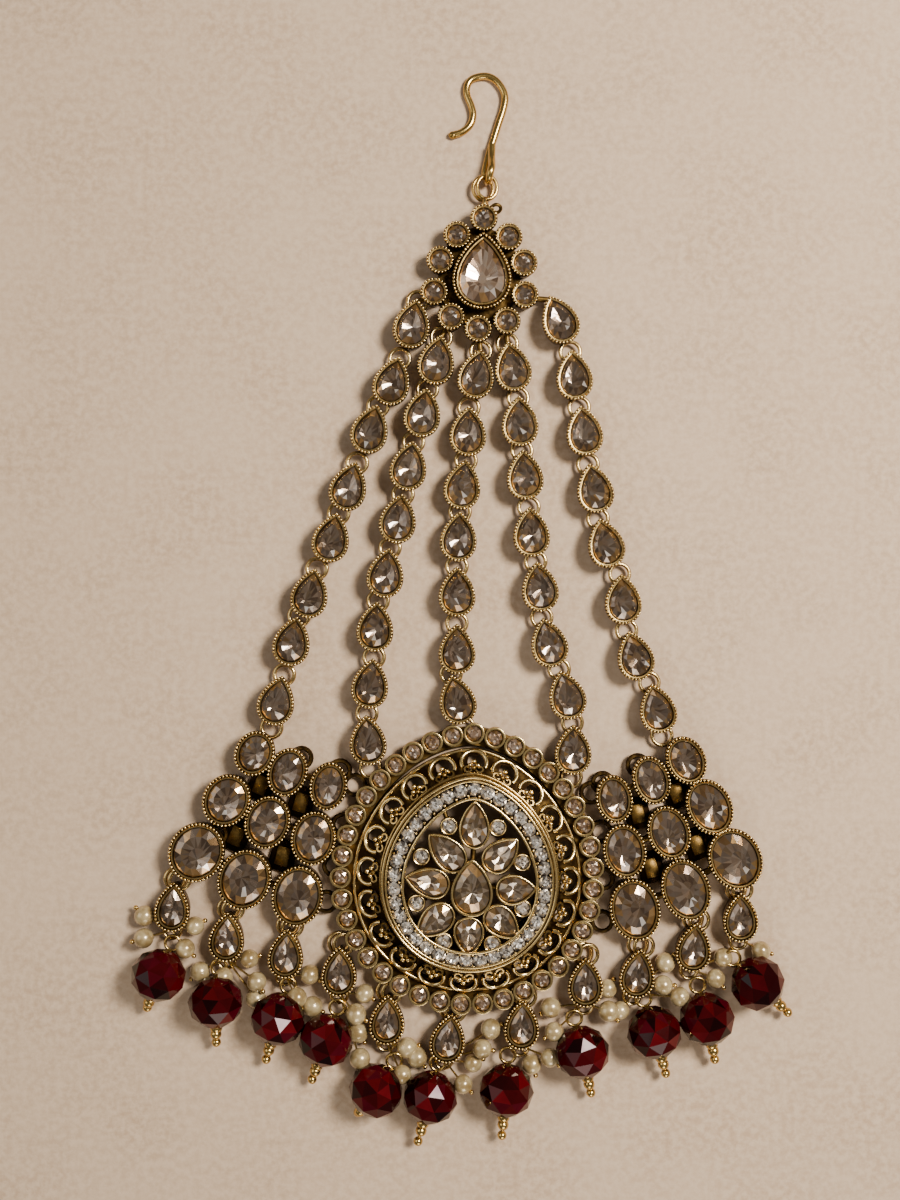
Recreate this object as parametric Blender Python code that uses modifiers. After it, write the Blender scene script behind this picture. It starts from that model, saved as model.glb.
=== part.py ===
"""Jhoomar, a side head ornament, lying on its back on the plane z = 0.

A hook carries a flower of stones, five chains of pear settings run down to two side panels
and a domed openwork medallion, and eleven drops with red beads hang along the lower edge.
Sizes are in metres, +X is right, +Y runs towards the hook and +Z is up.
"""
import math

import bmesh
import bpy
from mathutils import Matrix, Vector

# Gap kept between pieces that touch on the real ornament, and how deep soldered parts overlap
CLEARANCE = 0.0003
SOLDER_OVERLAP = 0.0001

# Jump rings, and the square eyes that they pass through
LINK_SIDES = 10
WIRE_SIDES = 5
LINK_WIRE = 0.00056
LINK_RING_DIAMETER = 0.0036
LINK_HEIGHT = 0.0012
EYE_BAR = 0.00045
EYE_BITE = 0.0004

# Settings: the rim round each stone, how far a cup narrows to its base, and the stone's rise
RIM_WIDTH = 0.00045
CUP_TAPER = 0.0005
STONE_RISE = 0.0006
TABLE_SHARE = 0.5
STONE_SIDES = 8
LARGE_STONE_SIDES = 10
PEAR_TAPER = 0.6

# Flower at the top
FLOWER_RING_WIDTH = 0.0138
FLOWER_RING_HEIGHT = 0.01564
FLOWER_LEAN = -3.0
FLOWER_STUD_COUNT = 10
FLOWER_TOP_LIFT = 0.0010
FLOWER_STUD_DIAMETER = 0.0042
FLOWER_STUD_HEIGHT = 0.0034
FLOWER_PEAR_WIDTH = 0.0089
FLOWER_PEAR_LENGTH = 0.0114
FLOWER_PEAR_HEIGHT = 0.0044
FLOWER_PEAR_RISE = 0.0009
FLOWER_PLATE_THICKNESS = 0.0012

# Hook and the ring that it hangs by
HOOK_WIRE = 0.0011
HOOK_EYE_RADIUS = 0.00125
HOOK_EYE_SHIFT = 0.0012
HOOK_RING_DIAMETER = 0.0042
HOOK_RING_WIRE = 0.0006
HOOK_ROUTE_STEP = 0.0014

# Distance between the centre of the flower and the centre of the medallion
FLOWER_TO_MEDALLION = 0.0893
FLOWER_SIDE_STEP = 0.0020

# Chains of pear settings
CHAIN_SETTING_WIDTH = 0.0056
CHAIN_SETTING_LENGTH = 0.0074
CHAIN_SETTING_HEIGHT = 0.0036
CHAIN_LINK_GAP = 0.0006
CHAIN_END_OVERLAP = 0.0003
CHAIN_TUBE = 0.0009

# Medallion: ring of studs, openwork band, raised pear frame and petals
MEDALLION_RING_WIDTH = 0.0382
MEDALLION_RING_HEIGHT = 0.0408
MEDALLION_LEAN = -2.75
MEDALLION_STUD_COUNT = 38
MEDALLION_STUD_DIAMETER = 0.0030
MEDALLION_STUD_HEIGHT = 0.0031
RAIL_MARGIN = 0.0001
RAIL_INNER_LIP = 0.0006
RAIL_THICKNESS = 0.0012
BAND_THICKNESS = 0.0009
OPENING_SPREAD = 2.5
FRAME_OUTER_WIDTH = 0.0261
FRAME_OUTER_HEIGHT = 0.0295
FRAME_BAND = 0.0031
FRAME_DROP = 0.0007
FRAME_BOTTOM = 0.0036
FRAME_TOP = 0.0066
FRAME_CHANNEL_DEPTH = 0.0006
FRAME_TAPER = 0.2
HEART_PEAR_WIDTH = 0.0062
HEART_PEAR_LENGTH = 0.0085
HEART_DROP = 0.0021
PETAL_COUNT = 8
PETAL_WIDTH = 0.0044
PETAL_LENGTH = 0.0069
PETAL_BASE = 0.0040
PETAL_HEIGHT = 0.0024
PETAL_BITE = 0.0003
SPOKE_WIDTH = 0.0009
SPOKE_START = 0.0015

# Side panels: three columns of three soldered ovals, small at the top and large below
OVAL_WIDTHS = (0.0061, 0.0071, 0.0081)
OVAL_LENGTHS = (0.0076, 0.0086, 0.0096)
OVAL_HEIGHTS = (0.0036, 0.00375, 0.0039)
PANEL_GAP = 0.00075
STRAP_WIDTH = 0.0010
STRAP_BOTTOM = 0.0004

# Drops: setting, red bead and head pin
DROP_SETTING_WIDTH = 0.0054
DROP_SETTING_LENGTH = 0.0074
DROP_SETTING_HEIGHT = 0.0034
DROP_EYE_HEIGHT = 0.0021
BEAD_DIAMETER = 0.0078
BEAD_LENGTH = 0.0070
BEAD_SIDES = 10
PIN_WIRE = 0.00044
PIN_LOOP_DIAMETER = 0.0027
PIN_TUBE_DIAMETER = 0.0017
PIN_TUBE_LENGTH = 0.0016
PIN_BALL_DIAMETER = 0.0012
PIN_SIDES = 5
PEARL_DIAMETER = 0.0030
PEARL_WIRE = 0.0004

# Hook's centre line, from the free end to the eye, measured from the centre of the eye
HOOK_ROUTE = (
    (-0.0058, 0.0050),
    (-0.0043, 0.0052),
    (-0.0035, 0.0062),
    (-0.0032, 0.0077),
    (-0.0036, 0.0092),
    (-0.0039, 0.0107),
    (-0.0038, 0.0122),
    (-0.0028, 0.0135),
    (-0.0008, 0.0140),
    (0.0013, 0.0135),
    (0.0024, 0.0121),
    (0.0026, 0.0103),
    (0.0023, 0.0085),
    (0.0016, 0.0067),
    (0.0009, 0.0047),
    (0.0002, 0.0029),
)

# Chain routes: which stud of the flower each leaves, the angle it leaves at, and the bow of its
# middle as (share of the way down, distance to the right)
CHAIN_STARTS = {
    "chain_1": (3, 215.0),
    "chain_2": (4, 243.0),
    "chain_3": (5, 272.0),
    "chain_4": (6, 282.0),
    "chain_5": (7, 325.0),
}
CHAIN_BOWS = {
    "chain_1": ((0.25, 0.0002), (0.50, -0.0006), (0.75, -0.0010)),
    "chain_2": ((0.25, -0.0011), (0.50, -0.0020), (0.75, -0.0021)),
    "chain_3": ((0.20, -0.0012), (0.50, -0.0018), (0.80, -0.0014)),
    "chain_4": ((0.25, -0.0002), (0.50, -0.0009), (0.70, -0.0005), (0.88, 0.0008)),
    "chain_5": ((0.12, 0.0010), (0.30, 0.0001), (0.52, -0.0009), (0.78, -0.0011)),
}

# Side panels: where the inner column meets the medallion, the way the rows run, and the lean of
# each column from the inner one outwards, all as angles in degrees
PANELS = {
    "side_panel_left": (149.4, 156.0, (15.6, 22.0, 30.0)),
    "side_panel_right": (25.4, 28.0, (-10.6, -17.5, -26.0)),
}
PANEL_CHAINS = {"side_panel_left": "chain_1", "side_panel_right": "chain_5"}

# Angles round the medallion where the three middle chains and five of the drops are hung
MEDALLION_CHAINS = {"chain_2": 133.5, "chain_3": 92.0, "chain_4": 42.5}
MEDALLION_DROPS = (212.0, 238.5, 264.0, 291.2, 321.8)

# Drops from left to right: turn of the setting and of the bead from straight down, in degrees
DROP_TURNS = (
    (-4.5, -15.0),
    (-3.5, -9.0),
    (-4.7, -12.0),
    (-1.2, -14.0),
    (-2.9, -18.0),
    (-9.3, -21.0),
    (-2.4, -16.0),
    (0.0, -1.0),
    (-6.0, 22.0),
    (-7.1, 14.0),
    (-12.0, 25.0),
)

ORIGIN = Vector((0.0, 0.0))
SMOOTH_UNDER = math.radians(80.0)
EYE_HOLE = LINK_WIRE + 2 * CLEARANCE
RING_RADIUS = (LINK_RING_DIAMETER - LINK_WIRE) / 2
LINK_STANDOFF = EYE_HOLE / 2 + EYE_BAR - EYE_BITE
PIN_LOOP_RADIUS = (PIN_LOOP_DIAMETER - PIN_WIRE) / 2


def start_scene():
    """Empty the scene and make one collection for the ornament."""
    for old in list(bpy.data.objects):
        bpy.data.objects.remove(old)
    parts = bpy.data.collections.new("jhoomar")
    bpy.context.scene.collection.children.link(parts)
    return parts


PARTS = start_scene()


def make_material(name, colour, roughness, metallic):
    """One Principled material with a plain colour."""
    material = bpy.data.materials.new(name)
    material.use_nodes = True
    shader = material.node_tree.nodes["Principled BSDF"]
    shader.inputs["Base Color"].default_value = (*colour, 1.0)
    shader.inputs["Roughness"].default_value = roughness
    shader.inputs["Metallic"].default_value = metallic
    return material


def heading(degrees):
    """Unit vector in the plane at an angle from +X."""
    return Vector((math.cos(math.radians(degrees)), math.sin(math.radians(degrees))))


def turned(vector, degrees):
    """A plane vector turned about +Z."""
    return Matrix.Rotation(math.radians(degrees), 2) @ vector


def seat(point, forward, height=0.0):
    """Placement that puts the origin over a plane point and local +Y along forward."""
    turn = math.atan2(forward.y, forward.x) - math.pi / 2
    return Matrix.Translation((point.x, point.y, height)) @ Matrix.Rotation(turn, 4, "Z")


def to_object(name, bm, placement=None):
    """Turn a bmesh into an object whose place is in its mesh."""
    bmesh.ops.recalc_face_normals(bm, faces=bm.faces[:])
    if placement is not None:
        bm.transform(placement)
    mesh = bpy.data.meshes.new(name)
    bm.to_mesh(mesh)
    bm.free()
    piece = bpy.data.objects.new(name, mesh)
    PARTS.objects.link(piece)
    return piece


def fuse(name, pieces, material):
    """Union of overlapping closed solids, kept as one object; the pieces are used up."""
    base = pieces[0]
    for piece in pieces[1:]:
        union = base.modifiers.new("solder", "BOOLEAN")
        union.operation = "UNION"
        union.solver = "MANIFOLD"
        union.object = piece
    depsgraph = bpy.context.evaluated_depsgraph_get()
    depsgraph.update()
    mesh = bpy.data.meshes.new_from_object(base.evaluated_get(depsgraph))
    for piece in pieces:
        bpy.data.objects.remove(piece)
    mesh.name = name
    mesh.materials.clear()
    mesh.materials.append(material)
    fused = bpy.data.objects.new(name, mesh)
    PARTS.objects.link(fused)
    return fused


def shade_round(piece):
    """Smooth shading for wire, with its square shoulders left sharp."""
    piece.data.shade_smooth()
    piece.data.set_sharp_from_angle(angle=SMOOTH_UNDER)
    return piece


def unit_oval(sides):
    """Ellipse of width and length 1, with a corner at each end."""
    turns = [2 * math.pi * step / sides for step in range(sides)]
    return [Vector((math.sin(turn) / 2, math.cos(turn) / 2)) for turn in turns]


def unit_pear(sides, taper=PEAR_TAPER):
    """Pear of width and length 1 with its tip at +Y; a larger taper makes it more pointed."""
    def reach(turn):
        return math.sin(turn) * abs(math.sin(turn / 2)) ** taper
    widest = max(reach(math.pi * step / 90) for step in range(90))
    turns = [2 * math.pi * step / sides for step in range(sides)]
    return [Vector((reach(turn) / widest / 2, math.cos(turn) / 2)) for turn in turns]


def stack(outline, levels):
    """Closed solid that rises through levels of (height, width, length) of one outline."""
    bm = bmesh.new()
    height, width, length = levels[0]
    corners = [bm.verts.new((point.x * width, point.y * length, height)) for point in outline]
    face = bm.faces.new(corners)
    base = face
    for next_height, next_width, next_length in levels[1:]:
        below = face
        grown = bmesh.ops.extrude_face_region(bm, geom=[below])["geom"]
        face = next(item for item in grown if isinstance(item, bmesh.types.BMFace))
        if below is not base:
            bm.faces.remove(below)
        factors = (next_width / width, next_length / length, 1.0)
        bmesh.ops.scale(bm, vec=factors, verts=face.verts)
        bmesh.ops.translate(bm, vec=(0, 0, next_height - height), verts=face.verts)
        height, width, length = next_height, next_width, next_length
    return bm


def cup_with_stone(outline, width, length, height, base=0.0):
    """A tapered cup with a flat rim and a faceted stone with a table."""
    stone_width = width - 2 * RIM_WIDTH
    stone_length = length - 2 * RIM_WIDTH
    return stack(outline, [
        (base, width - 2 * CUP_TAPER, length - 2 * CUP_TAPER),
        (base + height, width, length),
        (base + height, stone_width, stone_length),
        (base + height + STONE_RISE, stone_width * TABLE_SHARE, stone_length * TABLE_SHARE),
    ])


def stud_with_stone(outline, width, length, height, base=0.0):
    """A small cup whose stone fills it to the edge."""
    return stack(outline, [
        (base, width - 2 * CUP_TAPER, length - 2 * CUP_TAPER),
        (base + height, width, length),
        (base + height + STONE_RISE, width * TABLE_SHARE, length * TABLE_SHARE),
    ])


def cup_inset(height_share):
    """How far a cup's wall lies inside its rim at a share of its height."""
    return CUP_TAPER * (1 - height_share)


def ring_object(name, diameter, wire, placement):
    """A wire ring lying in the XY plane before it is placed."""
    bpy.ops.mesh.primitive_torus_add(
        major_segments=LINK_SIDES, minor_segments=WIRE_SIDES,
        major_radius=(diameter - wire) / 2, minor_radius=wire / 2)
    ring = bpy.context.object
    for owner in list(ring.users_collection):
        owner.objects.unlink(ring)
    PARTS.objects.link(ring)
    ring.name = name
    ring.data.transform(placement)
    return ring


def eye_object(name, wire, placement):
    """A square eye standing on edge, whose hole runs along local X round the origin."""
    hole = wire + 2 * CLEARANCE
    size = hole + 2 * EYE_BAR
    bm = bmesh.new()
    bmesh.ops.create_cube(bm, size=1.0)
    bmesh.ops.scale(bm, vec=(EYE_BAR, size, size), verts=bm.verts)
    ends = [face for face in bm.faces if abs(face.normal.x) > 0.5]
    bmesh.ops.inset_individual(bm, faces=ends, thickness=EYE_BAR)
    rims = [edge for face in ends for edge in face.edges]
    bmesh.ops.delete(bm, geom=ends, context="FACES_ONLY")
    bmesh.ops.bridge_loops(bm, edges=rims)
    return to_object(name, bm, placement)


def box_object(name, size, placement):
    """A box centred on the origin before it is placed."""
    bm = bmesh.new()
    bmesh.ops.create_cube(bm, size=1.0)
    bmesh.ops.scale(bm, vec=size, verts=bm.verts)
    return to_object(name, bm, placement)


def tube_object(name, points, diameter, resolution):
    """A round wire with filled ends through the points, as a welded mesh."""
    curve = bpy.data.curves.new(name, "CURVE")
    curve.dimensions = "3D"
    curve.bevel_depth = diameter / 2
    curve.bevel_resolution = resolution
    curve.use_fill_caps = True
    spline = curve.splines.new("POLY")
    spline.points.add(len(points) - 1)
    for slot, point in zip(spline.points, points):
        slot.co = (*point, 1.0)
    guide = bpy.data.objects.new(name + "_guide", curve)
    PARTS.objects.link(guide)
    depsgraph = bpy.context.evaluated_depsgraph_get()
    depsgraph.update()
    bm = bmesh.new()
    bm.from_mesh(guide.evaluated_get(depsgraph).to_mesh())
    bmesh.ops.remove_doubles(bm, verts=bm.verts[:], dist=CLEARANCE / 100)
    bpy.data.objects.remove(guide)
    return to_object(name, bm)


def smooth_route(points, per_span=16):
    """Dense Catmull-Rom curve through the points."""
    padded = [2 * points[0] - points[1], *points, 2 * points[-1] - points[-2]]
    route = []
    for index in range(1, len(padded) - 2):
        before, start, end, after = padded[index - 1:index + 3]
        for step in range(per_span):
            t = step / per_span
            bend = 2 * before - 5 * start + 4 * end - after
            twist = 3 * start - before - 3 * end + after
            route.append((2 * start + (end - before) * t + bend * t * t + twist * t ** 3) / 2)
    route.append(points[-1])
    return route


def route_length(route):
    return sum((b - a).length for a, b in zip(route, route[1:]))


def point_along(route, distance):
    """Point and direction at a distance along a dense route."""
    walked = 0.0
    for a, b in zip(route, route[1:]):
        step = (b - a).length
        if walked + step >= distance:
            return a + (b - a) * ((distance - walked) / step), (b - a).normalized()
        walked += step
    return route[-1].copy(), (route[-1] - route[-2]).normalized()


# Flower

def flower_centre():
    return ORIGIN + Vector((FLOWER_SIDE_STEP, FLOWER_TO_MEDALLION))


def flower_stud_centre(index):
    """Centre of a stud; number 0 stands a little above the ring and they run to the left."""
    turn = math.radians(90.0 + 360.0 * index / FLOWER_STUD_COUNT)
    spot = Vector((math.cos(turn) * FLOWER_RING_WIDTH / 2, math.sin(turn) * FLOWER_RING_HEIGHT / 2))
    if index == 0:
        spot.y += FLOWER_TOP_LIFT
    return flower_centre() + turned(spot, FLOWER_LEAN)


def stud_wall(height):
    """Distance from a flower stud's centre to its wall at a height."""
    inset = cup_inset(height / FLOWER_STUD_HEIGHT)
    return (FLOWER_STUD_DIAMETER / 2 - inset) * math.cos(math.pi / STONE_SIDES)


def flower_eye(index, angle, wire, height):
    """Centre of the hole of an eye that stands out from a stud at an angle."""
    standoff = wire / 2 + CLEARANCE + EYE_BAR - EYE_BITE
    return flower_stud_centre(index) + heading(angle) * (stud_wall(height) + standoff)


def hook_angle():
    return 90.0 + FLOWER_LEAN


def hook_height():
    """Height of the centre of the hook's eye and of the ring through it."""
    return HOOK_WIRE / 2 + HOOK_EYE_RADIUS


def make_flower(material):
    """Pear setting with ten round ones on a back plate, and the eyes round its edge."""
    lean = turned(Vector((0.0, 1.0)), FLOWER_LEAN)
    pear = cup_with_stone(unit_pear(LARGE_STONE_SIDES), FLOWER_PEAR_WIDTH, FLOWER_PEAR_LENGTH,
                          FLOWER_PEAR_HEIGHT)
    pieces = [to_object("flower_pear", pear, seat(flower_centre() + lean * FLOWER_PEAR_RISE, lean))]
    plate = stack(unit_oval(FLOWER_STUD_COUNT), [
        (SOLDER_OVERLAP, FLOWER_RING_WIDTH, FLOWER_RING_HEIGHT),
        (FLOWER_PLATE_THICKNESS, FLOWER_RING_WIDTH, FLOWER_RING_HEIGHT)])
    pieces.append(to_object("flower_plate", plate, seat(flower_centre(), lean)))
    for index in range(FLOWER_STUD_COUNT):
        stud = stud_with_stone(unit_oval(STONE_SIDES), FLOWER_STUD_DIAMETER, FLOWER_STUD_DIAMETER,
                               FLOWER_STUD_HEIGHT)
        centre = flower_stud_centre(index)
        outward = turned((centre - flower_centre()).normalized(), 180.0 / STONE_SIDES)
        pieces.append(to_object("flower_stud", stud, seat(centre, outward)))
    for index, angle in CHAIN_STARTS.values():
        hole = flower_eye(index, angle, LINK_WIRE, LINK_HEIGHT)
        pieces.append(eye_object("flower_eye", LINK_WIRE, seat(hole, heading(angle), LINK_HEIGHT)))
    hole = flower_eye(0, hook_angle(), HOOK_RING_WIRE, hook_height())
    place = seat(hole, heading(hook_angle()), hook_height())
    pieces.append(eye_object("flower_top_eye", HOOK_RING_WIRE, place))
    return fuse("crown_flower", pieces, material)


# Hook

def hook_ring_centre():
    hole = flower_eye(0, hook_angle(), HOOK_RING_WIRE, hook_height())
    return hole + heading(hook_angle()) * (HOOK_RING_DIAMETER - HOOK_RING_WIRE) / 2


def hook_eye_centre():
    return hook_ring_centre() + heading(hook_angle()) * (HOOK_RING_DIAMETER - HOOK_RING_WIRE) / 2


def make_hook_ring(material):
    place = seat(hook_ring_centre(), heading(hook_angle()), hook_height())
    ring = ring_object("hook_ring", HOOK_RING_DIAMETER, HOOK_RING_WIRE, place)
    ring.data.materials.append(material)
    return shade_round(ring)


def hook_eye_turns():
    """Centre line of the eye: the stem runs under it, round it and back beside itself."""
    turns = []
    for degrees in range(-90, -301, -35):
        share = (-90 - degrees) / 210.0
        across = HOOK_EYE_SHIFT * (share - 0.5)
        along = HOOK_EYE_RADIUS * math.cos(math.radians(degrees))
        rise = HOOK_EYE_RADIUS * math.sin(math.radians(degrees))
        turns.append(Vector((across, along, hook_height() + rise)))
    end = turns[-1]
    turns.append(Vector((end.x, end.y + HOOK_EYE_RADIUS * 0.8, end.z - HOOK_EYE_RADIUS * 0.4)))
    return turns


def make_hook(material):
    """Bent wire: an open bend lying flat and an upright eye at its lower end."""
    low = HOOK_WIRE / 2
    chosen = [Vector((x, y, low)) for x, y in HOOK_ROUTE]
    eye = hook_eye_turns()
    dense = smooth_route([*chosen, eye[0]])
    count = round(route_length(dense) / HOOK_ROUTE_STEP)
    step = route_length(dense) / count
    flat = [point_along(dense, step * index)[0] for index in range(count)]
    hook = tube_object("hook_wire", [*flat, *eye], HOOK_WIRE, 1)
    centre = hook_eye_centre()
    hook.data.transform(Matrix.Translation((centre.x, centre.y, 0.0)))
    return shade_round(fuse("hook", [hook], material))


# Medallion

def ring_point(angle, margin=0.0):
    """Point on the medallion's stud ring, or a margin outside it, at an angle from its centre."""
    turn = math.radians(angle - MEDALLION_LEAN)
    half_width = MEDALLION_RING_WIDTH / 2
    half_height = MEDALLION_RING_HEIGHT / 2
    reach = 1.0 / math.hypot(math.cos(turn) / half_width, math.sin(turn) / half_height)
    return ORIGIN + heading(angle) * (reach + margin)


def rail_outer_margin():
    return MEDALLION_STUD_DIAMETER / 2 + RAIL_MARGIN


def rail_inner_margin():
    return -(MEDALLION_STUD_DIAMETER / 2 + RAIL_INNER_LIP)


def frame_point(angle, inset=0.0):
    """Point on the pear frame's outline, or an inset inside it, at an angle from its centre."""
    centre = ORIGIN + Vector((0.0, -FRAME_DROP))
    wanted = math.radians(angle - MEDALLION_LEAN)
    width = FRAME_OUTER_WIDTH - 2 * inset
    height = FRAME_OUTER_HEIGHT - 2 * inset
    spots = [Vector((point.x * width, point.y * height)) for point in FRAME_OUTLINE]
    target = Vector((math.cos(wanted), math.sin(wanted)))
    best = max(spots, key=lambda spot: spot.normalized().dot(target))
    return centre + turned(best, MEDALLION_LEAN)


FRAME_OUTLINE = unit_pear(360, FRAME_TAPER)


def ring_steps(offset):
    """Even steps along the stud ring, one for each stud, starting a share of a step past its top."""
    dense = [ring_point(90.0 + MEDALLION_LEAN + degree) for degree in range(361)]
    pitch = route_length(dense) / MEDALLION_STUD_COUNT
    return [point_along(dense, pitch * (index + offset))[0] for index in range(MEDALLION_STUD_COUNT)]


def medallion_section(angle, spread):
    """Closed section from the rail's outer foot over the band and frame and back underneath."""
    rail_out = ring_point(angle, rail_outer_margin())
    rail_in = ring_point(angle, rail_inner_margin())
    frame_out = frame_point(angle + spread)
    frame_in = frame_point(angle + spread, FRAME_BAND)
    channel = FRAME_TOP - FRAME_CHANNEL_DEPTH

    def at(point, height):
        return Vector((point.x, point.y, height))

    return [
        at(rail_out, 0.0),
        at(rail_out, RAIL_THICKNESS),
        at(rail_in, RAIL_THICKNESS),
        at(frame_out, FRAME_BOTTOM + BAND_THICKNESS),
        at(frame_out, FRAME_TOP),
        at(frame_out.lerp(frame_in, 0.22), channel),
        at(frame_out.lerp(frame_in, 0.78), channel),
        at(frame_in, FRAME_TOP),
        at(frame_in, FRAME_BOTTOM),
        at(frame_out, FRAME_BOTTOM),
        at(rail_in, 0.0),
    ]


# Places in a section of the four corners that bound an opening, top and underside
OPEN_TOP = (2, 3)
OPEN_UNDER = (9, 10)


def make_medallion_shell():
    """Rail, pierced band and raised frame as one loft; every second bay is open."""
    bm = bmesh.new()
    rings = []
    for index, spot in enumerate(ring_steps(0.5)):
        angle = math.degrees(math.atan2(spot.y, spot.x))
        spread = -OPENING_SPREAD if index % 2 == 0 else OPENING_SPREAD
        rings.append([bm.verts.new(corner) for corner in medallion_section(angle, spread)])
    size = len(rings[0])
    for index, ring in enumerate(rings):
        following = rings[(index + 1) % len(rings)]
        pierced = index % 2 == 0
        for low in range(size):
            high = (low + 1) % size
            if pierced and (low, high) in (OPEN_TOP, OPEN_UNDER):
                continue
            bm.faces.new((ring[low], ring[high], following[high], following[low]))
        if pierced:
            outer, inner = OPEN_TOP
            under_inner, under_outer = OPEN_UNDER
            bm.faces.new((ring[outer], following[outer], following[under_outer], ring[under_outer]))
            bm.faces.new((ring[inner], ring[under_inner], following[under_inner], following[inner]))
            bm.faces.new((ring[outer], ring[under_outer], ring[under_inner], ring[inner]))
            bm.faces.new((following[outer], following[inner], following[under_inner],
                          following[under_outer]))
    return to_object("medallion_shell", bm)


def heart_centre():
    return ORIGIN + turned(Vector((0.0, -HEART_DROP)), MEDALLION_LEAN)


def heart_reach(angle):
    """Distance from the heart's centre to its edge, taking it as an oval."""
    turn = math.radians(angle - MEDALLION_LEAN)
    return 1.0 / math.hypot(math.cos(turn) * 2 / HEART_PEAR_WIDTH, math.sin(turn) * 2 / HEART_PEAR_LENGTH)


def make_petals():
    """Pear cups with their tips soldered into the frame and their bases joined to the heart."""
    pieces = []
    hub = heart_centre()
    for index in range(PETAL_COUNT):
        angle = 90.0 + MEDALLION_LEAN + 360.0 * index / PETAL_COUNT
        edge = frame_point(angle, FRAME_BAND)
        outward = (edge - hub).normalized()
        span = (edge - hub).length + PETAL_BITE
        length = min(PETAL_LENGTH, span - heart_reach(angle) + PETAL_BITE)
        centre = hub + outward * (span - length / 2)
        cup = stud_with_stone(unit_pear(STONE_SIDES), PETAL_WIDTH, length, PETAL_HEIGHT, PETAL_BASE)
        pieces.append(to_object("petal", cup, seat(centre, outward)))
        end = span - length + 2 * CUP_TAPER
        height = PETAL_BASE + SPOKE_WIDTH / 2 + SOLDER_OVERLAP
        place = seat(hub + outward * (SPOKE_START + end) / 2, outward, height)
        pieces.append(box_object("spoke", (SPOKE_WIDTH, end - SPOKE_START, SPOKE_WIDTH), place))
    return pieces


def chain_end_eye(chain):
    """Hole centre and outward direction of the eye that carries a chain's lower end."""
    if chain in MEDALLION_CHAINS:
        outward = heading(MEDALLION_CHAINS[chain])
        edge = ring_point(MEDALLION_CHAINS[chain], rail_outer_margin())
        return edge + outward * LINK_STANDOFF, outward
    panel = next(name for name, carried in PANEL_CHAINS.items() if carried == chain)
    centre, up = panel_oval(panel, 2, 0)
    return oval_eye(centre, up, 0)


def medallion_drop_eye(angle):
    outward = heading(angle)
    return ring_point(angle, rail_outer_margin()) + outward * LINK_STANDOFF, outward


def medallion_panel_eyes(panel):
    """Holes of the two eyes whose rings hold a side panel, facing the notches between its ovals."""
    eyes = []
    for row in (0, 1):
        notch = panel_notch(panel, row)
        outward = notch.normalized()
        angle = math.degrees(math.atan2(outward.y, outward.x))
        eyes.append((ring_point(angle, rail_outer_margin()) + outward * LINK_STANDOFF, outward))
    return eyes


def make_medallion(material):
    """Openwork dome with its studs, petals, heart and the eyes round its rail."""
    pieces = [make_medallion_shell()]
    for spot in ring_steps(0.0):
        stud = stack(unit_oval(STONE_SIDES), [
            (RAIL_THICKNESS / 2, MEDALLION_STUD_DIAMETER, MEDALLION_STUD_DIAMETER),
            (MEDALLION_STUD_HEIGHT, MEDALLION_STUD_DIAMETER * 0.62, MEDALLION_STUD_DIAMETER * 0.62)])
        pieces.append(to_object("stud", stud, seat(spot, (spot - ORIGIN).normalized())))
    up = turned(Vector((0.0, 1.0)), MEDALLION_LEAN)
    heart = cup_with_stone(unit_pear(LARGE_STONE_SIDES), HEART_PEAR_WIDTH, HEART_PEAR_LENGTH,
                           PETAL_HEIGHT + STONE_RISE / 2, PETAL_BASE)
    pieces.append(to_object("heart", heart, seat(heart_centre(), up)))
    pieces += make_petals()
    eyes = [chain_end_eye(chain) for chain in MEDALLION_CHAINS]
    eyes += [medallion_drop_eye(angle) for angle in MEDALLION_DROPS]
    for panel in PANELS:
        eyes += medallion_panel_eyes(panel)
    for hole, outward in eyes:
        pieces.append(eye_object("rail_eye", LINK_WIRE, seat(hole, outward, LINK_HEIGHT)))
    return fuse("medallion", pieces, material)


# Side panels

def panel_oval(panel, column, row):
    """Centre and upward direction of one oval; column 0 is the inner one, row 0 the top one."""
    meet, row_angle, leans = PANELS[panel]
    start = ring_point(meet, rail_outer_margin() + PANEL_GAP + OVAL_WIDTHS[0] / 2)
    centre = start + heading(row_angle) * (OVAL_WIDTHS[0] - SOLDER_OVERLAP) * column
    up = turned(Vector((0.0, 1.0)), -leans[column])
    for upper in range(row):
        pitch = (OVAL_LENGTHS[upper] + OVAL_LENGTHS[upper + 1]) / 2 - 2 * SOLDER_OVERLAP
        centre = centre - up * pitch
    return centre, up


def panel_notch(panel, row):
    """Where an oval of the inner column meets the one below it."""
    centre, up = panel_oval(panel, 0, row)
    return centre - up * (OVAL_LENGTHS[row] / 2 - SOLDER_OVERLAP)


def oval_eye(centre, outward, row):
    """Hole centre of an eye on the end of an oval."""
    wall = OVAL_LENGTHS[row] / 2 - cup_inset(LINK_HEIGHT / OVAL_HEIGHTS[row])
    return centre + outward * (wall + LINK_STANDOFF), outward


def panel_link_centres(panel):
    """Centres of the rings that join a panel to the medallion's rail."""
    return [hole + outward * RING_RADIUS for hole, outward in medallion_panel_eyes(panel)]


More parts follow.
